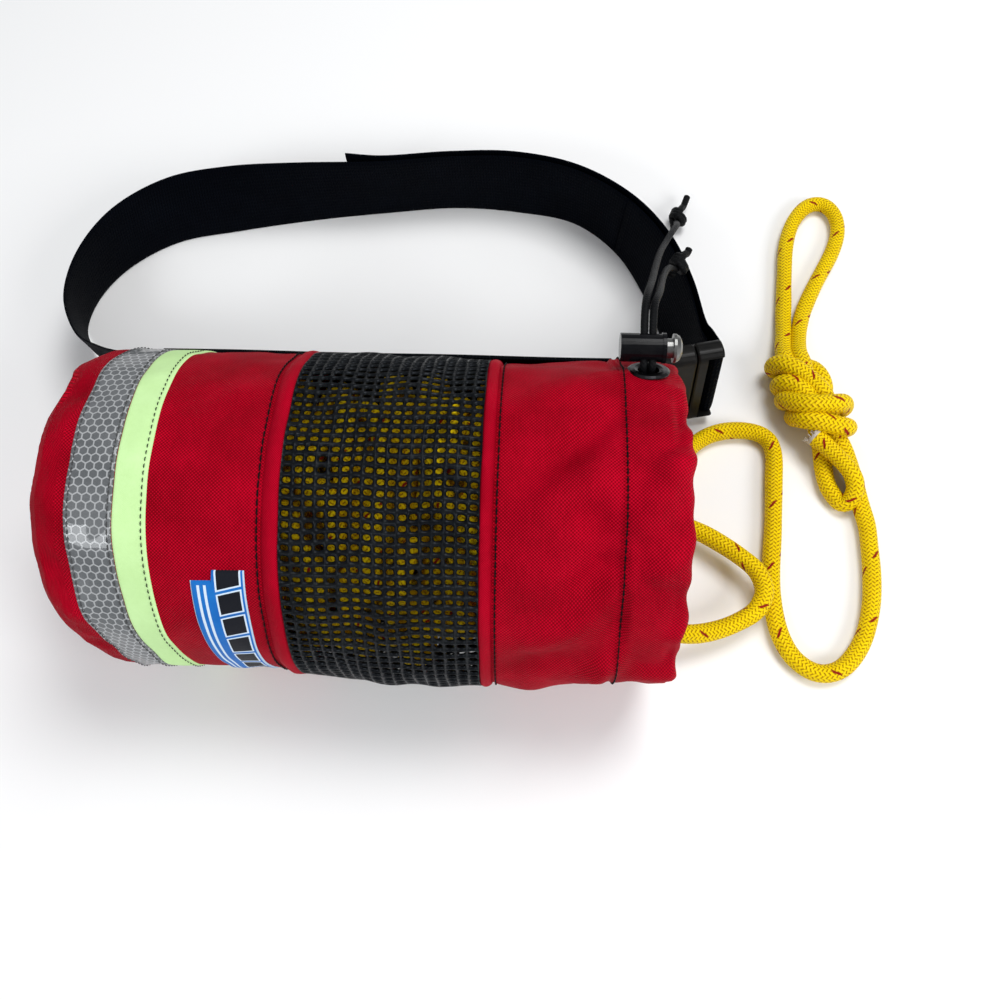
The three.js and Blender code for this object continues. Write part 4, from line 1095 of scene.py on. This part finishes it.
# The grommet's place in the hem, its way out, and the way round the bag from it.
GROMMET_ANGLE = math.radians(52)
GROMMET_X = 119.6
GROMMET_RADIUS = 76.4    # of the bag where the grommet sits
GROMMET_BORE = 6.2
grommet_base = np.array([
    GROMMET_X, GROMMET_RADIUS * math.cos(GROMMET_ANGLE),
    AXIS_Z + GROMMET_RADIUS / HALF_WIDTH * HALF_HEIGHT * math.sin(GROMMET_ANGLE)])
grommet_out = unit(np.array([
    0, math.cos(GROMMET_ANGLE) / HALF_WIDTH, math.sin(GROMMET_ANGLE) / HALF_HEIGHT]))
grommet_round = np.array([0, -grommet_out[2], grommet_out[1]])


def punched(thing, middle, axis, radius):
    """A round hole in the outer layer of a cloth, where the grommet's bore is."""
    shape = bmesh.new()
    shape.from_mesh(thing.data)
    gone = []
    for face in shape.faces:
        away = np.array(face.calc_center_median()) / MM - middle
        out = float(away.dot(axis))
        if abs(out) < 4 and np.linalg.norm(away - axis * out) < radius:
            gone.append(face)
    bmesh.ops.delete(shape, geom=gone, context="FACES")
    shape.to_mesh(thing.data)
    shape.free()


# The hem: out over the channel, round the lip, and back down inside the mouth.
outer_x = ramp_stations(106.4, 133.4, 1.2)
inner_x = ramp_stations(109.0, 132.6, 1.6)[::-1]
hem_x = np.concatenate([outer_x, [134.6, 135.3, 135.2, 134.2], inner_x])
hem_lift = np.concatenate([
    [-0.3], np.full(len(outer_x) - 1, 0.5), [-0.2, -1.4, -3.0, -4.6], np.full(len(inner_x), -6.2)])
hem = cloth_band("mouth_hem_cloth", hem_x, hem_lift, red_cloth, "bag_fabric", "mouth_hem", mouth_shift)
punched(hem, grommet_base, grommet_out, GROMMET_BORE)


def tape_stations(x0, x1):
    """A tape's section: up over a rounded edge, flat, and down the other edge."""
    a = np.array([0.0, 0.15, 0.5, 1.1, 2.0])
    h = 0.7 * np.array([0.0, 0.55, 0.85, 1.0, 1.0]) - 0.1
    flat = ramp_stations(x0 + 3, x1 - 3, 1.4)
    return (np.concatenate([x0 + a, flat, x1 - a[::-1]]),
            np.concatenate([h, np.full(len(flat), 0.6), h[::-1]]))


def roll_stations(x0, x1):
    """A plump binding's section, rounded from one edge to the other."""
    w = (1 - np.cos(np.linspace(0, math.pi, 13))) / 2
    return x0 + (x1 - x0) * w, 2.6 * np.sqrt(4 * w * (1 - w)) - 0.1


for edge, x0, x1 in (("lower", -41.2, -33.0), ("upper", 48.1, 53.8)):
    cloth_band(
        f"binding_{edge}_cloth", *roll_stations(x0, x1), red_binding, "binding_fabric",
        f"mesh_binding_{edge}")
for tape, x0, x1, look in (("silver", -123.2, -103.1, silver_face), ("lime", -102.9, -88.8, lime_face)):
    cloth_band(
        f"{tape}_tape_face", *tape_stations(x0, x1), look, f"{tape}_tape", f"reflective_tape_{tape}")

# The patch on the front: two tiers, the one nearer the mouth starting higher.
PATCH_X = -71.6
PATCH_ANGLE = math.radians(131.5)
PATCH_WIDE = 23.0
PATCH_STEP = 9.0
PATCH_LONG = 94.0
patch_u = np.concatenate([
    [0.0, 0.4], np.linspace(1.0, 8.4, 7), [9.0, 9.4], np.linspace(10.2, 22, 10), [22.6, PATCH_WIDE]])
patch_v = np.concatenate([
    [0.0, 0.4], np.linspace(1.0, PATCH_LONG - 1, 70), [PATCH_LONG - 0.4, PATCH_LONG]])
start_u = np.where(patch_u < PATCH_STEP + 0.2, 4.6, 0.0)
patch_along = start_u[:, None] + patch_v[None, :] * (PATCH_LONG - start_u[:, None]) / PATCH_LONG
patch_rim = np.minimum(
    np.minimum(patch_u, PATCH_WIDE - patch_u)[:, None],
    np.minimum(patch_v, PATCH_LONG - patch_v)[None, :])
patch_points = on_bag(
    PATCH_X + patch_u[:, None], PATCH_ANGLE + patch_along / HALF_WIDTH,
    0.1 + 0.8 * np.minimum(1, patch_rim / 0.5))
patch_vertices, patch_quads, _ = grid(patch_points, patch_u, patch_v, closed=False)
patch_uv = np.stack([np.repeat(patch_u, len(patch_v)), patch_along.ravel()], axis=-1)[patch_quads]
piece("label_patch_cloth", (patch_vertices, patch_quads, patch_uv), patch_face, "label", "label_patch")

# ------------------------------------------------------------------ the open mesh

HOLES_ALONG = 17
HOLES_ROUND = 104
MESH_FROM, MESH_TO = -33.6, 48.6
HOLE_CORNERS = 12
HOLE_SIZE = np.array([0.33, 0.26])     # half a hole, in parts of a cell
HOLE_ROUNDNESS = 2.6                   # 2 would be an ellipse, and more is squarer


def open_mesh():
    """Coated yarn in a square net with rounded, oblong holes."""
    angle = (np.arange(HOLE_CORNERS) + 0.5) * TAU / HOLE_CORNERS
    way = np.stack([np.cos(angle), np.sin(angle)], axis=-1)
    square = way / np.abs(way).max(axis=1, keepdims=True) * 0.5
    hole = np.sign(way) * np.abs(way) ** (2 / HOLE_ROUNDNESS)
    # Each ring's outline in its cell, and its height over the cloth's plain face.
    rings = [
        (square, 1.15), (square * 0.45 + hole * (HOLE_SIZE + 0.1) * 0.55, 0.95),
        (hole * (HOLE_SIZE + 0.02), 0.4), (hole * HOLE_SIZE, -0.3), (square, -0.7)]
    i, j = (v.ravel() for v in np.meshgrid(
        np.arange(HOLES_ALONG), np.arange(HOLES_ROUND), indexing="ij"))
    rng = np.random.default_rng(3)
    skew = rng.uniform(-0.03, 0.03, (len(i), 2))
    step_x = (MESH_TO - MESH_FROM) / HOLES_ALONG
    points = []
    for outline, lift in rings:
        ease = 0.0 if outline is square else 1.0
        u = i[:, None] + 0.5 + outline[None, :, 0] + ease * skew[:, :1]
        v = j[:, None] + 0.5 + outline[None, :, 1] + ease * skew[:, 1:]
        sag = 0.12 * np.sin(v * 0.9) * np.sin(u * 1.7)
        around = (v + 0.10 * np.sin(u * 0.8)) * TAU / HOLES_ROUND
        points.append(on_bag(MESH_FROM + (u + sag * 0.4) * step_x, around, 0.9 + lift))
    points = np.stack(points, axis=1).reshape(-1, 3)
    base = (np.arange(len(i)) * len(rings) * HOLE_CORNERS)[:, None, None]
    ring = base + (np.arange(len(rings) - 1) * HOLE_CORNERS)[None, :, None]
    k = np.arange(HOLE_CORNERS)[None, None, :]
    following = (k + 1) % HOLE_CORNERS
    faces = np.stack([
        ring + following, ring + HOLE_CORNERS + following, ring + HOLE_CORNERS + k, ring + k], axis=-1)
    # Neighbouring cells share their border points, so that the yarn is shaded as one.
    _, first, shared = np.unique(
        np.round(points * 100).astype(np.int64), axis=0, return_index=True, return_inverse=True)
    return points[first], shared.ravel()[faces.reshape(-1, 4)], None


piece("mesh_cloth", open_mesh(), mesh_vinyl, "mesh", "mesh_panel")

# ----------------------------------------------------------------------- stitching

STITCH_GRAIN = 0.25      # a seam's line is measured this finely
STITCH_SIDES = 5
# A stitch's rings from end to end: how high each lies and how thick it is.
STITCH_RISE = np.array([-0.45, 0.55, 0.9, 0.9, 0.55, -0.45])
STITCH_WIDE = np.array([0.35, 0.95, 1.0, 1.0, 0.95, 0.35])


def round_seam(name, x, lift, material, length=3.4, space=0.3, thick=0.4):
    """A row of sewn stitches round the bag."""
    angle = np.linspace(-math.pi / 2, 1.5 * math.pi, 700)
    line = on_bag(x, angle, lift)
    fine = spaced(line, STITCH_GRAIN)
    normal = unit(spaced(on_bag(x, angle, lift + 2) - line, STITCH_GRAIN))
    normal = normal[np.linspace(0, len(normal) - 1, len(fine)).round().astype(int)]
    beside = np.cross(normal, unit(np.gradient(fine, axis=0)))
    per = int(round((length + space) / STITCH_GRAIN))
    on = int(round(length / STITCH_GRAIN))
    rings = len(STITCH_RISE)
    parts = []
    for first in range(0, len(fine) - on, per):
        picks = np.linspace(first, first + on, rings).round().astype(int)
        middle = fine[picks] + normal[picks] * (STITCH_RISE * thick)[:, None]
        ring = circles(beside[picks], normal[picks], STITCH_SIDES)
        parts.append(grid(
            middle[:, None] + ring * (STITCH_WIDE * thick)[:, None, None],
            np.arange(rings), np.arange(STITCH_SIDES + 1)))
    points, faces, _ = merged(parts)
    piece(name, (points, faces, None), material, "bag_fabric")


round_seam("stitch_lower", -43.0, 0.25, black_thread)
round_seam("stitch_upper", 55.4, 0.25, black_thread)
round_seam("stitch_hem", 108.4, 0.75, black_thread)
round_seam("stitch_silver_left", -121.4, 0.8, grey_thread, length=2.4, space=0.9, thick=0.25)
round_seam("stitch_silver_right", -104.6, 0.8, grey_thread, length=2.4, space=0.9, thick=0.25)
round_seam("stitch_lime_edge", -90.6, 0.8, black_thread, length=2.0, space=1.0, thick=0.24)

# ------------------------------------------------------------------ belt and sleeve

STRAP_ACROSS = 14        # points from one edge of a strap to the other
STRAP_STEPS = 8          # rings from one station to the next


def strap(stations, first=0, last=None):
    """A webbing strap with rolled edges, from its first to its last station. Each
    station is a point of the lower edge, one of the upper edge, and the bow between."""
    spans = len(stations) - 1
    last = spans if last is None else last
    t = np.linspace(first / spans, last / spans, (last - first) * STRAP_STEPS + 1)
    lower, upper = (catmull([station[k] for station in stations], t) for k in (0, 1))
    bow = np.interp(t * spans, np.arange(spans + 1), [station[2] for station in stations])
    along = unit(np.gradient(lower, axis=0) + np.gradient(upper, axis=0))
    normal = unit(np.cross(upper - lower, along))
    w = (1 - np.cos(np.linspace(0, math.pi, STRAP_ACROSS))) / 2
    middle = lower[:, None] * (1 - w)[None, :, None] + upper[:, None] * w[None, :, None]
    middle = middle + normal[:, None] * (bow[:, None] * (1 - (2 * w - 1) ** 2)[None, :])[:, :, None]
    half = BELT_THICKNESS / 2 * np.sqrt(np.clip(1 - (2 * w - 1) ** 10, 0.02, 1))
    front = middle + normal[:, None] * half[None, :, None]
    back = middle - normal[:, None] * half[None, :, None]
    wide = np.linalg.norm(upper - lower, axis=1).mean()
    v = np.concatenate([w, 1 + np.linspace(0, 1, STRAP_ACROSS)[1:], [2.0, 2.0]]) * wide
    points, faces, uv = grid(
        np.concatenate([front, back[:, ::-1]], axis=1), distances((lower + upper) / 2), v)
    sides = 2 * STRAP_ACROSS
    caps, cap_uv = [], []
    for base, flip in ((0, False), (len(points) - sides, True)):
        for k in range(STRAP_ACROSS - 1):
            quad = [base + k, base + k + 1, base + sides - 2 - k, base + sides - 1 - k]
            caps.append(quad[::-1] if flip else quad)
            cap_uv.append([[0, k]] * 4)
    return points, np.vstack([faces, caps]), np.concatenate([uv, np.array(cap_uv, float)])


BELT_LOOP = [
    ((152, 124, 1), (156.5, 131, 50.2), 0), ((143, 148, 0.5), (152, 153, 49.4), 0),
    ((133.5, 176, 0.5), (141, 180, 49.4), 0), ((117, 206, 0.5), (121, 206, 49.8), 0),
    ((91, 228, 0.5), (90, 227, 50), 0), ((55, 236, 0.5), (53, 236, 50), 0),
    ((16, 238.5, 0.5), (15, 235.5, 50), 0), ((-25, 234, 0.5), (-26, 231, 50), 0),
    ((-75, 226.5, 0.5), (-76, 229, 50), 0), ((-122, 217, 0.5), (-118, 226, 49.2), 0),
    ((-160, 207, 0.5), (-153, 217, 48.6), 0), ((-188, 186, 0.5), (-181, 194, 48.8), 0),
    ((-202, 162, 0.5), (-195, 163, 49.4), 0), ((-204.5, 140, 0.5), (-196.5, 133, 49), 0),
    ((-193, 122, 4), (-184, 108, 51.2), 0), ((-171, 107, 13), (-165, 93.5, 60.6), 1),
    ((-148, 90, 22), (-145, 84, 70.5), 2.4), ((-131, 77, 29.5), (-130, 79, 77.6), 3.6)]
BELT_RADIUS = 78.7
BELT_HALF = 25.0         # half the webbing's width
BUCKLE_PLACE = Matrix.Translation((153.9, 95.5, 32)) @ Matrix.Rotation(
    math.radians(12), 4, "Z") @ Matrix.Rotation(math.radians(-8), 4, "X")
FEMALE_BAR = -30.0       # the bars of the two buckle halves, along the buckle
MALE_BAR = 12.2
WRAP = 3.3               # the webbing's middle from a bar's middle
WRAP_STEPS = 8


def sleeve_station(x):
    """A station of the belt inside its sleeve, on the bag's plain section."""
    edges = []
    for angle in (SLEEVE_ANGLE - BELT_HALF / BELT_RADIUS, SLEEVE_ANGLE + BELT_HALF / BELT_RADIUS):
        height = BELT_RADIUS / HALF_WIDTH * max(HALF_HEIGHT * math.sin(angle), -FLAT_DEPTH)
        edges.append((x, BELT_RADIUS * math.cos(angle), AXIS_Z + height))
    return *edges, 4


def buckle_edges(u, v):
    """A station of the webbing at u along the buckle and v behind its middle."""
    return (*(tuple(BUCKLE_PLACE @ Vector((u, v, w))) for w in (-BELT_HALF, BELT_HALF)), 0)


def round_bar(bar, start):
    """Stations half way round a buckle's bar, from the angle start."""
    turns = [start + math.pi * k / WRAP_STEPS for k in range(WRAP_STEPS + 1)]
    return [buckle_edges(bar + WRAP * math.cos(turn), WRAP * math.sin(turn)) for turn in turns]


belt_stations = [
    buckle_edges(MALE_BAR - WRAP, 8.5), buckle_edges(MALE_BAR - WRAP - 0.9, 15), *BELT_LOOP,
    *(sleeve_station(x) for x in (-118, -114, -60, 0, 60, 100, 107, 108.5)),
    ((110.5, 73.2, 26.5), (110.6, 79.6, 74.6), 2.4), ((113.5, 77.6, 15.5), (113.6, 83.2, 64.6), 0.8),
    buckle_edges(FEMALE_BAR - 7.2, -WRAP + 0.3), *round_bar(FEMALE_BAR, -math.pi / 2),
    buckle_edges(FEMALE_BAR - 5, WRAP + 0.2)]
tail_stations = [
    buckle_edges(MALE_BAR + WRAP - 0.5, 8.5), buckle_edges(MALE_BAR + WRAP - 1.6, 14),
    ((159, 121.5, 1.6), (161.8, 123.5, 50), 0), ((147.8, 147, 0.6), (155.6, 151.5, 50), 0),
    ((137, 177.5, 0.5), (144.4, 181.5, 49.8), 0), ((119.8, 209, 0.5), (123.6, 209, 50.2), 0),
    ((92.4, 231.6, 0.5), (91.3, 230.6, 50.4), 0), ((55.4, 239.8, 0.5), (53.3, 239.8, 50.4), 0),
    ((15.8, 242.2, 0.5), (14.8, 239.2, 50.4), 0), ((-25.6, 237.8, 0.5), (-26.6, 235, 50.4), 0),
    ((-47, 236.2, 0.5), (-47.8, 236.4, 50.4), 0)]
wrap_stations = [
    buckle_edges(MALE_BAR - WRAP, 9.5), buckle_edges(MALE_BAR - WRAP, 6),
    *round_bar(MALE_BAR, math.pi), buckle_edges(MALE_BAR + WRAP, 6),
    buckle_edges(MALE_BAR + WRAP - 0.6, 9.5)]

# The belt's last stretch before the moving buckle half is made as an object of its own.
END_STATIONS = 5
piece("belt_strap", strap(belt_stations, END_STATIONS), black_webbing, "webbing", "belt_webbing")
piece("belt_tail_strap", strap(tail_stations, END_STATIONS), black_webbing, "webbing", "belt_tail")
piece("bar_wrap_strap", strap(wrap_stations), black_webbing, "webbing", "belt_bar_wrap", body="male_half")
belt_end = new_object(
    "belt_end_strap",
    *merged([strap(belt_stations, 0, END_STATIONS), strap(tail_stations, 0, END_STATIONS)]),
    black_webbing)
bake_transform(belt_end)

SLEEVE_THICK = 0.9
FOOT_FROM = 20.5         # degrees from the sleeve's middle to its sewn feet
FOOT_RADIUS = 78.2
ROOF_RADIUS = 80.7


def sleeve_band():
    """The webbing sleeve: two sewn feet and a roof raised over the belt."""
    degrees = np.concatenate([
        np.linspace(-24.5, -20.8, 5), np.linspace(-20.2, 20.2, 30), np.linspace(20.8, 24.5, 5)])
    xs = ramp_stations(-118, 107, 2.0)
    lift = np.where(np.abs(degrees) > FOOT_FROM, FOOT_RADIUS, ROOF_RADIUS)
    lift = lift + 0.3 * np.cos(np.radians(degrees * 4))
    wave = 0.3 * np.sin(xs / 17.0)[:, None] * np.cos(np.radians(degrees * 3))[None, :]
    angle = SLEEVE_ANGLE + np.radians(degrees)
    layers = []
    for inner in (0.0, -SLEEVE_THICK):
        radius = lift[None, :] + wave + inner
        scale = radius / HALF_WIDTH
        layers.append(np.stack([
            np.broadcast_to(xs[:, None], radius.shape), radius * np.cos(angle)[None, :],
            AXIS_Z + scale * HALF_HEIGHT * np.sin(angle)[None, :]], axis=-1))
    points = np.concatenate([layers[0], layers[1][:, ::-1]], axis=1)
    return grid(points, xs + 118, np.arange(points.shape[1] + 1) * 1.6)


piece("belt_sleeve_cloth", sleeve_band(), sleeve_webbing, "webbing", "belt_sleeve")

# -------------------------------------------------------------- drawcord and knots

LOCK_CENTRE = np.array([119.0, 55.5, 131.1])
LOCK_RISE = math.radians(20)
lock_along = np.array([0, math.cos(LOCK_RISE), math.sin(LOCK_RISE)])


def cord_start(x, side):
    """The cord's first stations: in the hem, out by the grommet and through the lock."""
    places = [
        grommet_base + grommet_round * around + grommet_out * out
        for around, out in ((8.2 * side, -5.1), (2.6 * side, -5), (0.1 * side, -3), (0, 0))]
    places += [LOCK_CENTRE + lock_along * along for along in (-7, 0, 12, 19)]
    return [(x, place[1], place[2]) for place in places]


TAIL_A = [
    *cord_start(120.9, -1), (124.5, 84.5, 130), (128, 101, 113.5), (132.5, 121.5, 94),
    (137.5, 138.5, 76.5), (141, 147, 65.5), (143, 149.5, 61)]
TAIL_B = [
    *cord_start(117.1, 1), (119.5, 84.5, 132), (123, 99.5, 118.5), (127.5, 121, 100),
    (132.5, 143.5, 81.5), (138.5, 165, 63), (144, 179.5, 54.5), (148, 190.5, 46),
    (151, 203.5, 31.5), (153.5, 216.5, 16)]
FREE_FROM = 66           # beyond this y a cord has left the lock and hangs in a soft line
CORD_SIDES = 16
KNOT_SIZE = 3.7
KNOT_TURN = 0.5


def cord_relief(s, angle):
    """The low diamonds of the cord's braid."""
    turn = TAU / CORD_PITCH
    step = TAU / CORD_CARRIERS
    right = (angle - turn * s) / step
    left = (angle + turn * s) / step
    return 0.09 * (np.cos(right * TAU) * np.cos(left * TAU))


def knot_turns():
    """A stopper knot pulled tight: along the cord, across it, and up, in cord widths."""
    way = [(-2.4, 0.0, 0.0), (-1.6, 0.25, -0.25)]
    for k in range(21):
        turn = k * TAU / 9
        way.append((-0.62 + 0.062 * k + 0.42 * math.cos(turn + 0.6),
                    1.05 * math.cos(turn - 0.4), 1.0 * math.sin(turn - 0.4)))
    return way + [(1.55, 0.35, 0.45), (2.3, 0.0, 0.0)]


def stopper(centre, axis, stub):
    """A stopper knot with its cut end, which stands stub beyond it."""
    beside = unit(np.cross([0, 0, 1.0], axis))
    up = np.cross(axis, beside)
    across = beside * math.cos(KNOT_TURN) + up * math.sin(KNOT_TURN)
    rise = np.cross(axis, across)
    table = np.array(knot_turns()) * KNOT_SIZE
    table = np.vstack([table, table[-1] + [stub, 0.3, 0.0]])
    world = np.array(centre) + table @ np.stack([axis, across, rise])
    world[:, 2] = np.maximum(world[:, 2], CORD / 2 + 0.1)
    fine = route(world, 0.5)
    return capped(tube(fine, CORD / 2 * 1.16, CORD_SIDES, cord_relief), fine[0], fine[-1], CORD_SIDES)


for letter, points, centre, heading, stub in (
        ("a", TAIL_A, (147, 155.5, 57.4), (0.5, 0.86, 0), 3.0),
        ("b", TAIL_B, (156, 228, 8.0), (0.37, 0.93, 0), 8.5)):
    axis = unit(np.array(heading, float))
    path = route(points)
    beyond = int(np.argmax(path[:, 1] > FREE_FROM))
    path[beyond:] = softened(path[beyond:], 60)
    path = spaced(np.vstack([path, np.array(centre) - axis * 4]), 1.0)
    knot = piece(
        f"cord_knot_{letter}", stopper(centre, axis, stub), cord_skin, "drawcord",
        f"drawcord_knot_{letter}")
    cord = piece(
        f"drawcord_end_{letter}", tube(path, CORD / 2, CORD_SIDES, cord_relief), cord_skin, "drawcord",
        f"drawcord_tail_{letter}")
    tuple(path[0] * MM)
    (path * MM).tolist()

# ------------------------------------------------------------ the CAD's own pieces

CAD_LOOKS = {
    "buckle_female": black_plastic, "buckle_male": black_plastic,
    "buckle_prong_upper": black_plastic, "buckle_prong_lower": black_plastic,
    "cord_lock_barrel": glossy_plastic, "cord_lock_plunger": domed_metal,
    "cord_lock_spring": steel, "grommet": gunmetal, "grommet_washer": gunmetal,
    "drawcord_ring": cord_skin, "rope_anchor_loop": sleeve_webbing}
for node, look in CAD_LOOKS.items():
    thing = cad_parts[node]
    thing.data.materials.clear()
    thing.data.materials.append(look)

# ---------------------------------------------------------------- floor and lights

floor_look = Graph("floor")
floor_look.set(Base_Color=(0.93, 0.93, 0.93), Roughness=0.8, Specular_IOR_Level=0.1)
floor_mesh = bpy.data.meshes.new("floor")
FLOOR_REACH = 6.0
floor_mesh.from_pydata(
    [(x * FLOOR_REACH, y * FLOOR_REACH, 0) for x, y in ((-1, -1), (1, -1), (1, 1), (-1, 1))],
    [], [(0, 1, 2, 3)])
floor_mesh.materials.append(floor_look.material)
floor_plane = bpy.data.objects.new("floor", floor_mesh)
bpy.context.scene.collection.objects.link(floor_plane)


def lamp(name, place, aim, size, power, colour=(1, 1, 1)):
    """A square softbox at place, turned towards aim."""
    data = bpy.data.lights.new(name, "AREA")
    data.size = size
    data.energy = power
    data.color = colour
    thing = bpy.data.objects.new(name, data)
    bpy.context.scene.collection.objects.link(thing)
    thing.location = place
    thing.rotation_mode = "QUATERNION"
    thing.rotation_quaternion = (Vector(aim) - Vector(place)).to_track_quat("-Z", "Y")


lamp("key", (0.45, 0.5, 1.5), (0.03, 0, 0.05), 0.7, 14.5)
lamp("window", (-0.75, -1.15, 1.15), (0, 0, 0.05), 0.5, 8.5, (0.95, 0.98, 1.0))
lamp("fill", (1.1, -0.6, 0.9), (0.05, 0, 0.05), 0.6, 9)

world = bpy.data.worlds.new("studio")
bpy.context.scene.world = world
world.use_nodes = True
world.node_tree.nodes["Background"].inputs["Color"].default_value = (0.95, 0.97, 1.0, 1)
world.node_tree.nodes["Background"].inputs["Strength"].default_value = 0.33
